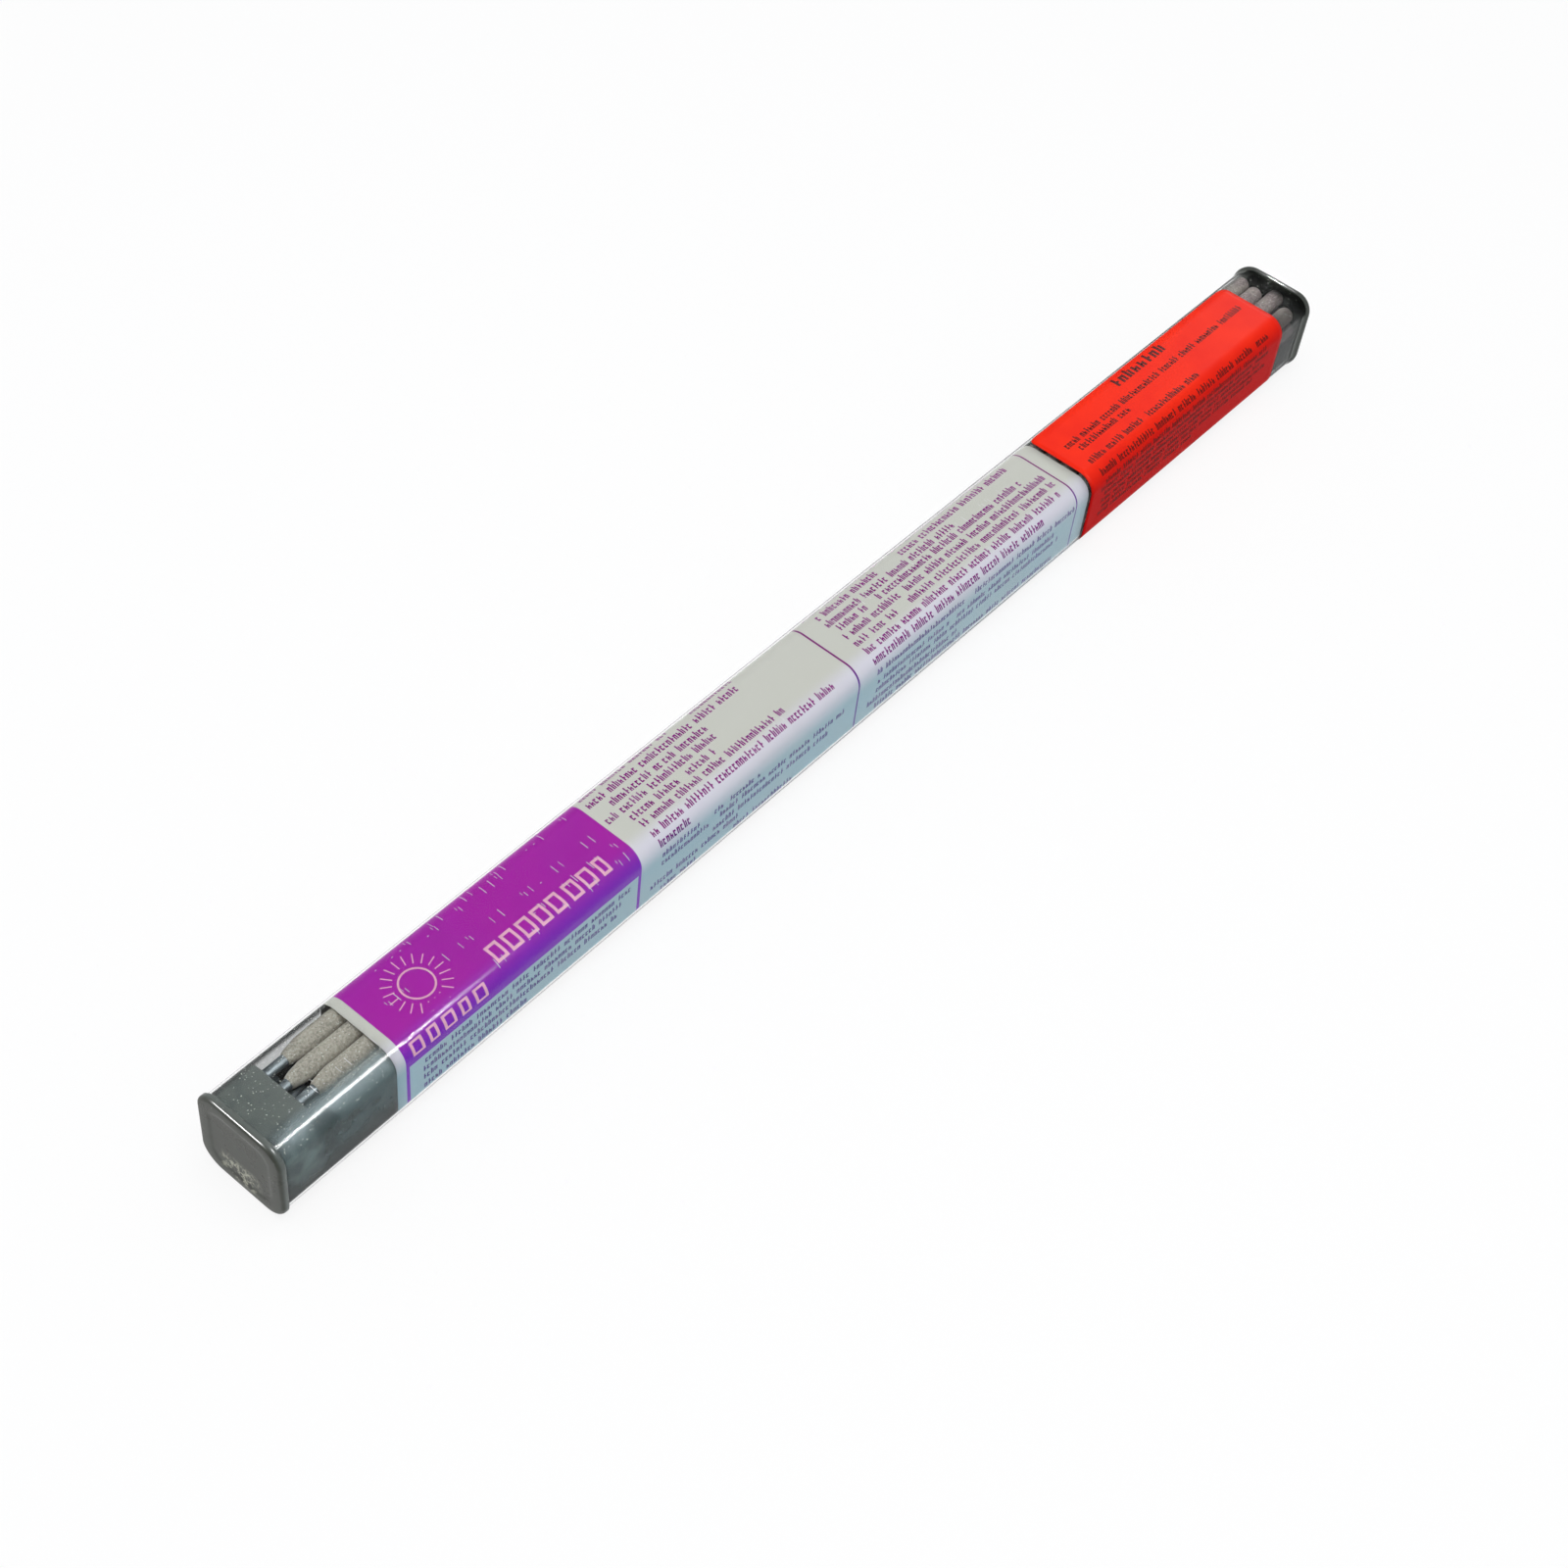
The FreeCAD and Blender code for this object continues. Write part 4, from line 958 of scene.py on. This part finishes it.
def makeSpark(tree, material):
    values = {"Along": printStart + 45.6 * mm, "Way": 0.6 * mm, "Ring Radius": 3.7 * mm,
              "Ray Start": 4.9 * mm, "Ray Length": 2.4 * mm, "Stroke": 0.42 * mm, "Ray Share": 0.55,
              "Overlap": 1.08, "Ink Thickness": inkThickness, "Half Width": sleeveHalf,
              "Corner": sleeveCorner, "Segments": 40, "Rays": 20, "Material": material}
    settlePiece(runTree("sparkMark", tree, values), "pack")


def makeDust(tree, material):
    dust = {"from": -9 * mm, "to": 12 * mm, "grain": 0.15 * mm, "lift": 0.01 * mm}
    for name, start, length, density, seed in (("nearDust", openEnd + 1 * mm, 30 * mm, 4.2e5, 3),
                                               ("farDust", stickerHigh.x, 13 * mm, 2.0e5, 8)):
        values = {"Start": start, "Length": length, "From": dust["from"], "To": dust["to"],
                  "Grain": dust["grain"], "Density": density, "Lift": dust["lift"],
                  "Half Width": tubeHalf, "Corner": tube["corner"],
                  "Seed": seed, "Material": material}
        settlePiece(runTree(name, tree, values), "pack")


# Set, lamps and camera
def makeStage():
    stage = {"size": 6.0, "floor": (0.93, 0.93, 0.93, 1), "glow": 0.86}
    mesh = bpy.data.meshes.new("floor")
    half = stage["size"] / 2
    corners = [(-half, -half, 0), (half, -half, 0), (half, half, 0), (-half, half, 0)]
    mesh.from_pydata([Vector(corner) for corner in corners], [], [(0, 1, 2, 3)])
    material, tree, shader, place, out = startMaterial("paleFloor")
    shader.inputs["Base Color"].default_value = stage["floor"]
    shader.inputs["Roughness"].default_value = 0.9
    shader.inputs["Specular IOR Level"].default_value = 0.0
    white = addNode(tree, "ShaderNodeEmission", {"Color": (1, 1, 1, 1), "Strength": 1.0})
    seen = calc(tree, "MULTIPLY", seenRays(tree), stage["glow"])
    both = addNode(tree, "ShaderNodeMixShader", {0: seen, 1: shader.outputs[0], 2: white.outputs[0]})
    feed(tree, both.outputs[0], out.inputs["Surface"])
    mesh.materials.append(material)
    floor = bpy.data.objects.new("floor", mesh)
    bpy.context.scene.collection.objects.link(floor)


def seenRays(tree):
    # Rays that show the backdrop: straight to the camera, in a reflection or through clear plastic
    rays = addNode(tree, "ShaderNodeLightPath").outputs
    return calc(tree, "MAXIMUM", calc(tree, "MAXIMUM", rays["Is Camera Ray"], rays["Is Glossy Ray"]),
                rays["Is Transmission Ray"])


def makeWorld():
    world = bpy.data.worlds.new("studio")
    world.use_nodes = True
    tree = world.node_tree
    tree.nodes.clear()
    soft = addNode(tree, "ShaderNodeBackground", {"Color": (0.95, 0.97, 1.0, 1), "Strength": 0.58})
    white = addNode(tree, "ShaderNodeBackground", {"Color": (1, 1, 1, 1), "Strength": 1.0})
    both = addNode(tree, "ShaderNodeMixShader", {0: seenRays(tree), 1: soft.outputs[0], 2: white.outputs[0]})
    addNode(tree, "ShaderNodeOutputWorld", {"Surface": both.outputs[0]})
    bpy.context.scene.world = world


def makeLamp(name, place, target, width, height, power, colour=(1, 1, 1)):
    light = bpy.data.lights.new(name, "AREA")
    light.shape = "RECTANGLE"
    light.size, light.size_y, light.energy, light.color = width, height, power, colour
    lamp = bpy.data.objects.new(name, light)
    lamp.location = place
    lamp.rotation_euler = (Vector(target) - Vector(place)).to_track_quat("-Z", "Y").to_euler()
    bpy.context.scene.collection.objects.link(lamp)
    return lamp


view = {"place": Vector((-343.05, -223.77, 446.6)) * mm, "yaw": -55.67, "tilt": 40.55, "roll": 7.895,
        "focalPixels": 2681.35, "framePixels": 1600, "sensor": 36.0}


def makeCamera():
    data = bpy.data.cameras.new("camera")
    data.sensor_width = view["sensor"]
    data.lens = view["focalPixels"] / view["framePixels"] * view["sensor"]
    data.clip_start = 0.01
    camera = bpy.data.objects.new("camera", data)
    camera.matrix_world = (Matrix.Translation(view["place"])
                           @ Matrix.Rotation(math.radians(view["yaw"]), 4, "Z")
                           @ Matrix.Rotation(math.radians(view["tilt"]), 4, "X")
                           @ Matrix.Rotation(math.radians(view["roll"]), 4, "Z"))
    bpy.context.scene.collection.objects.link(camera)
    bpy.context.scene.camera = camera


lamps = {"key": 6.2, "keyPlace": (-0.1, -0.1, 1.05), "keySize": 0.8, "away": 0.6,
         "streak": 12.0, "streakAt": -163 * mm, "streakSize": (0.11, 0.16), "edgeAngle": 60.0,
         "lip": 25.0, "lipSize": (0.028, 0.03), "rim": 3.0, "rimSize": (0.024, 0.03), "inset": 0.3 * mm}


def makeLamps():
    key = makeLamp("keyLamp", lamps["keyPlace"], (0, 0, 0), lamps["keySize"], lamps["keySize"], lamps["key"])
    key.visible_glossy = False
    # The streak on the near upper edge at the plug, and thin lines on the lip and on the closed end's rim
    edge = math.radians(lamps["edgeAngle"])
    side = Vector((0, -math.cos(edge), math.sin(edge)))
    corner = Vector((lamps["streakAt"], -(tubeHalf - tube["corner"]), axisHeight + tubeHalf - tube["corner"]))
    tubeway = Vector((1, 0, 0))
    spot = corner + side * tube["corner"]
    mirrorLamp("streakLamp", spot, side, tubeway, lamps["streakSize"], lamps["streak"])
    lipTop = Vector((plugLow.x + lamps["inset"], -1 * mm, plugHigh.z - lamps["inset"]))
    crossway = Vector((0, 1, 0))
    mirrorLamp("lipLamp", lipTop, Vector((-0.6, 0, 0.8)), crossway, lamps["lipSize"], lamps["lip"])
    rimTop = Vector((tubeHigh.x - 2.6 * mm, 1 * mm, tubeHigh.z))
    mirrorLamp("rimLamp", rimTop, Vector((0.12, 0, 0.993)), crossway, lamps["rimSize"], lamps["rim"])


def mirrorLamp(name, spot, normal, way, sizes, power):
    # A lamp seen only in reflections, where the surface at this spot mirrors the camera
    toEye = (view["place"] - spot).normalized()
    mirrored = (2 * normal.dot(toEye) * normal - toEye).normalized()
    lamp = makeLamp(name, spot + mirrored * lamps["away"], spot, sizes[0], sizes[1], power)
    level = (way - way.dot(mirrored) * mirrored).normalized()
    lamp.rotation_euler = Matrix((level, mirrored.cross(level), mirrored)).transposed().to_euler()
    lamp.visible_diffuse = False
    return lamp


makeCamera()
makeStage()
makeWorld()
makeLamps()
print("set and camera ready")

grainGroup = makeGrainGroup()
wrapGroup = makeWrapGroup()
sheetTree = makeSheetTree(wrapGroup)
markTree = makeRowTree("markRows", wrapGroup, markShapes)
blockTree = makeRowTree("blockRows", wrapGroup, blockShapes, 13)
scuffTree = makeRowTree("scuffRows", wrapGroup, scuffShapes)
print("tools ready")

filmHalf, filmCorner = makeSheets(sheetTree, makePaperMaterial(grainGroup), makeStickerMaterial(grainGroup))
# The magenta ink's second colour is its painted shade for the sides.
magentaInk = makeInkMaterial("magentaInk", (0.23, 0.010, 0.19, 1), (0.06, 0.03, 0.22, 1), grainGroup)
paleInk = makePlainMaterial("paleInk", (0.86, 0.46, 0.60, 1), 0.5, grainGroup)
darkInk = makePlainMaterial("darkInk", (0.11, 0.008, 0.006, 1), 0.5, grainGroup)
for name in ("topSecond", "sideSecond", "topThird", "sideThird", "sideFirst"):
    makePrint(markTree, name, magentaInk, sleeveHalf, sleeveCorner)
for name in ("titleBlocks", "edgeBlocks"):
    makePrint(blockTree, name, paleInk, sleeveHalf, sleeveCorner)
makeSpark(makeSparkTree(wrapGroup), paleInk)
for name in ("stickerHead", "stickerTop", "stickerSide"):
    makePrint(markTree, name, darkInk, filmHalf, filmCorner)
print("print laid")

makePaintedShadeFilms(sheetTree, makePaintedShadeFilmMaterial(grainGroup))
makeFloorShade(makePlainMaterial("endShade", (0.010, 0.011, 0.011, 1), 0.5, grainGroup, 0.15, 0.7))
scuffed = makePlainMaterial("scuffed", (0.92, 0.90, 0.92, 1), 0.5, grainGroup, 0.15, 0.8)
makePrint(scuffTree, "scuffs", scuffed, tubeHalf, tube["corner"])
makeDust(makeDustTree(wrapGroup), makePlainMaterial("dust", (0.66, 0.68, 0.62, 1), 0.7, grainGroup))
print("haze, scuffs and dust ready")

settlePiece(makeTube(makeTubeMaterial(grainGroup)), "pack", ["clear_tube"])
settlePiece(makePlug(makePlugMaterial(grainGroup)), "plug", ["end_plug"])
makeRods(makeRodTree(), makeFluxMaterial(grainGroup))
wireMaterial = makeWireMaterial(grainGroup)
for name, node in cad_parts.items():
    if name.startswith("core_wire"):
        for slot in node.material_slots:
            slot.material = wireMaterial
print("tube, plug and electrodes ready")

bpy.context.scene.view_settings.view_transform = "Standard"
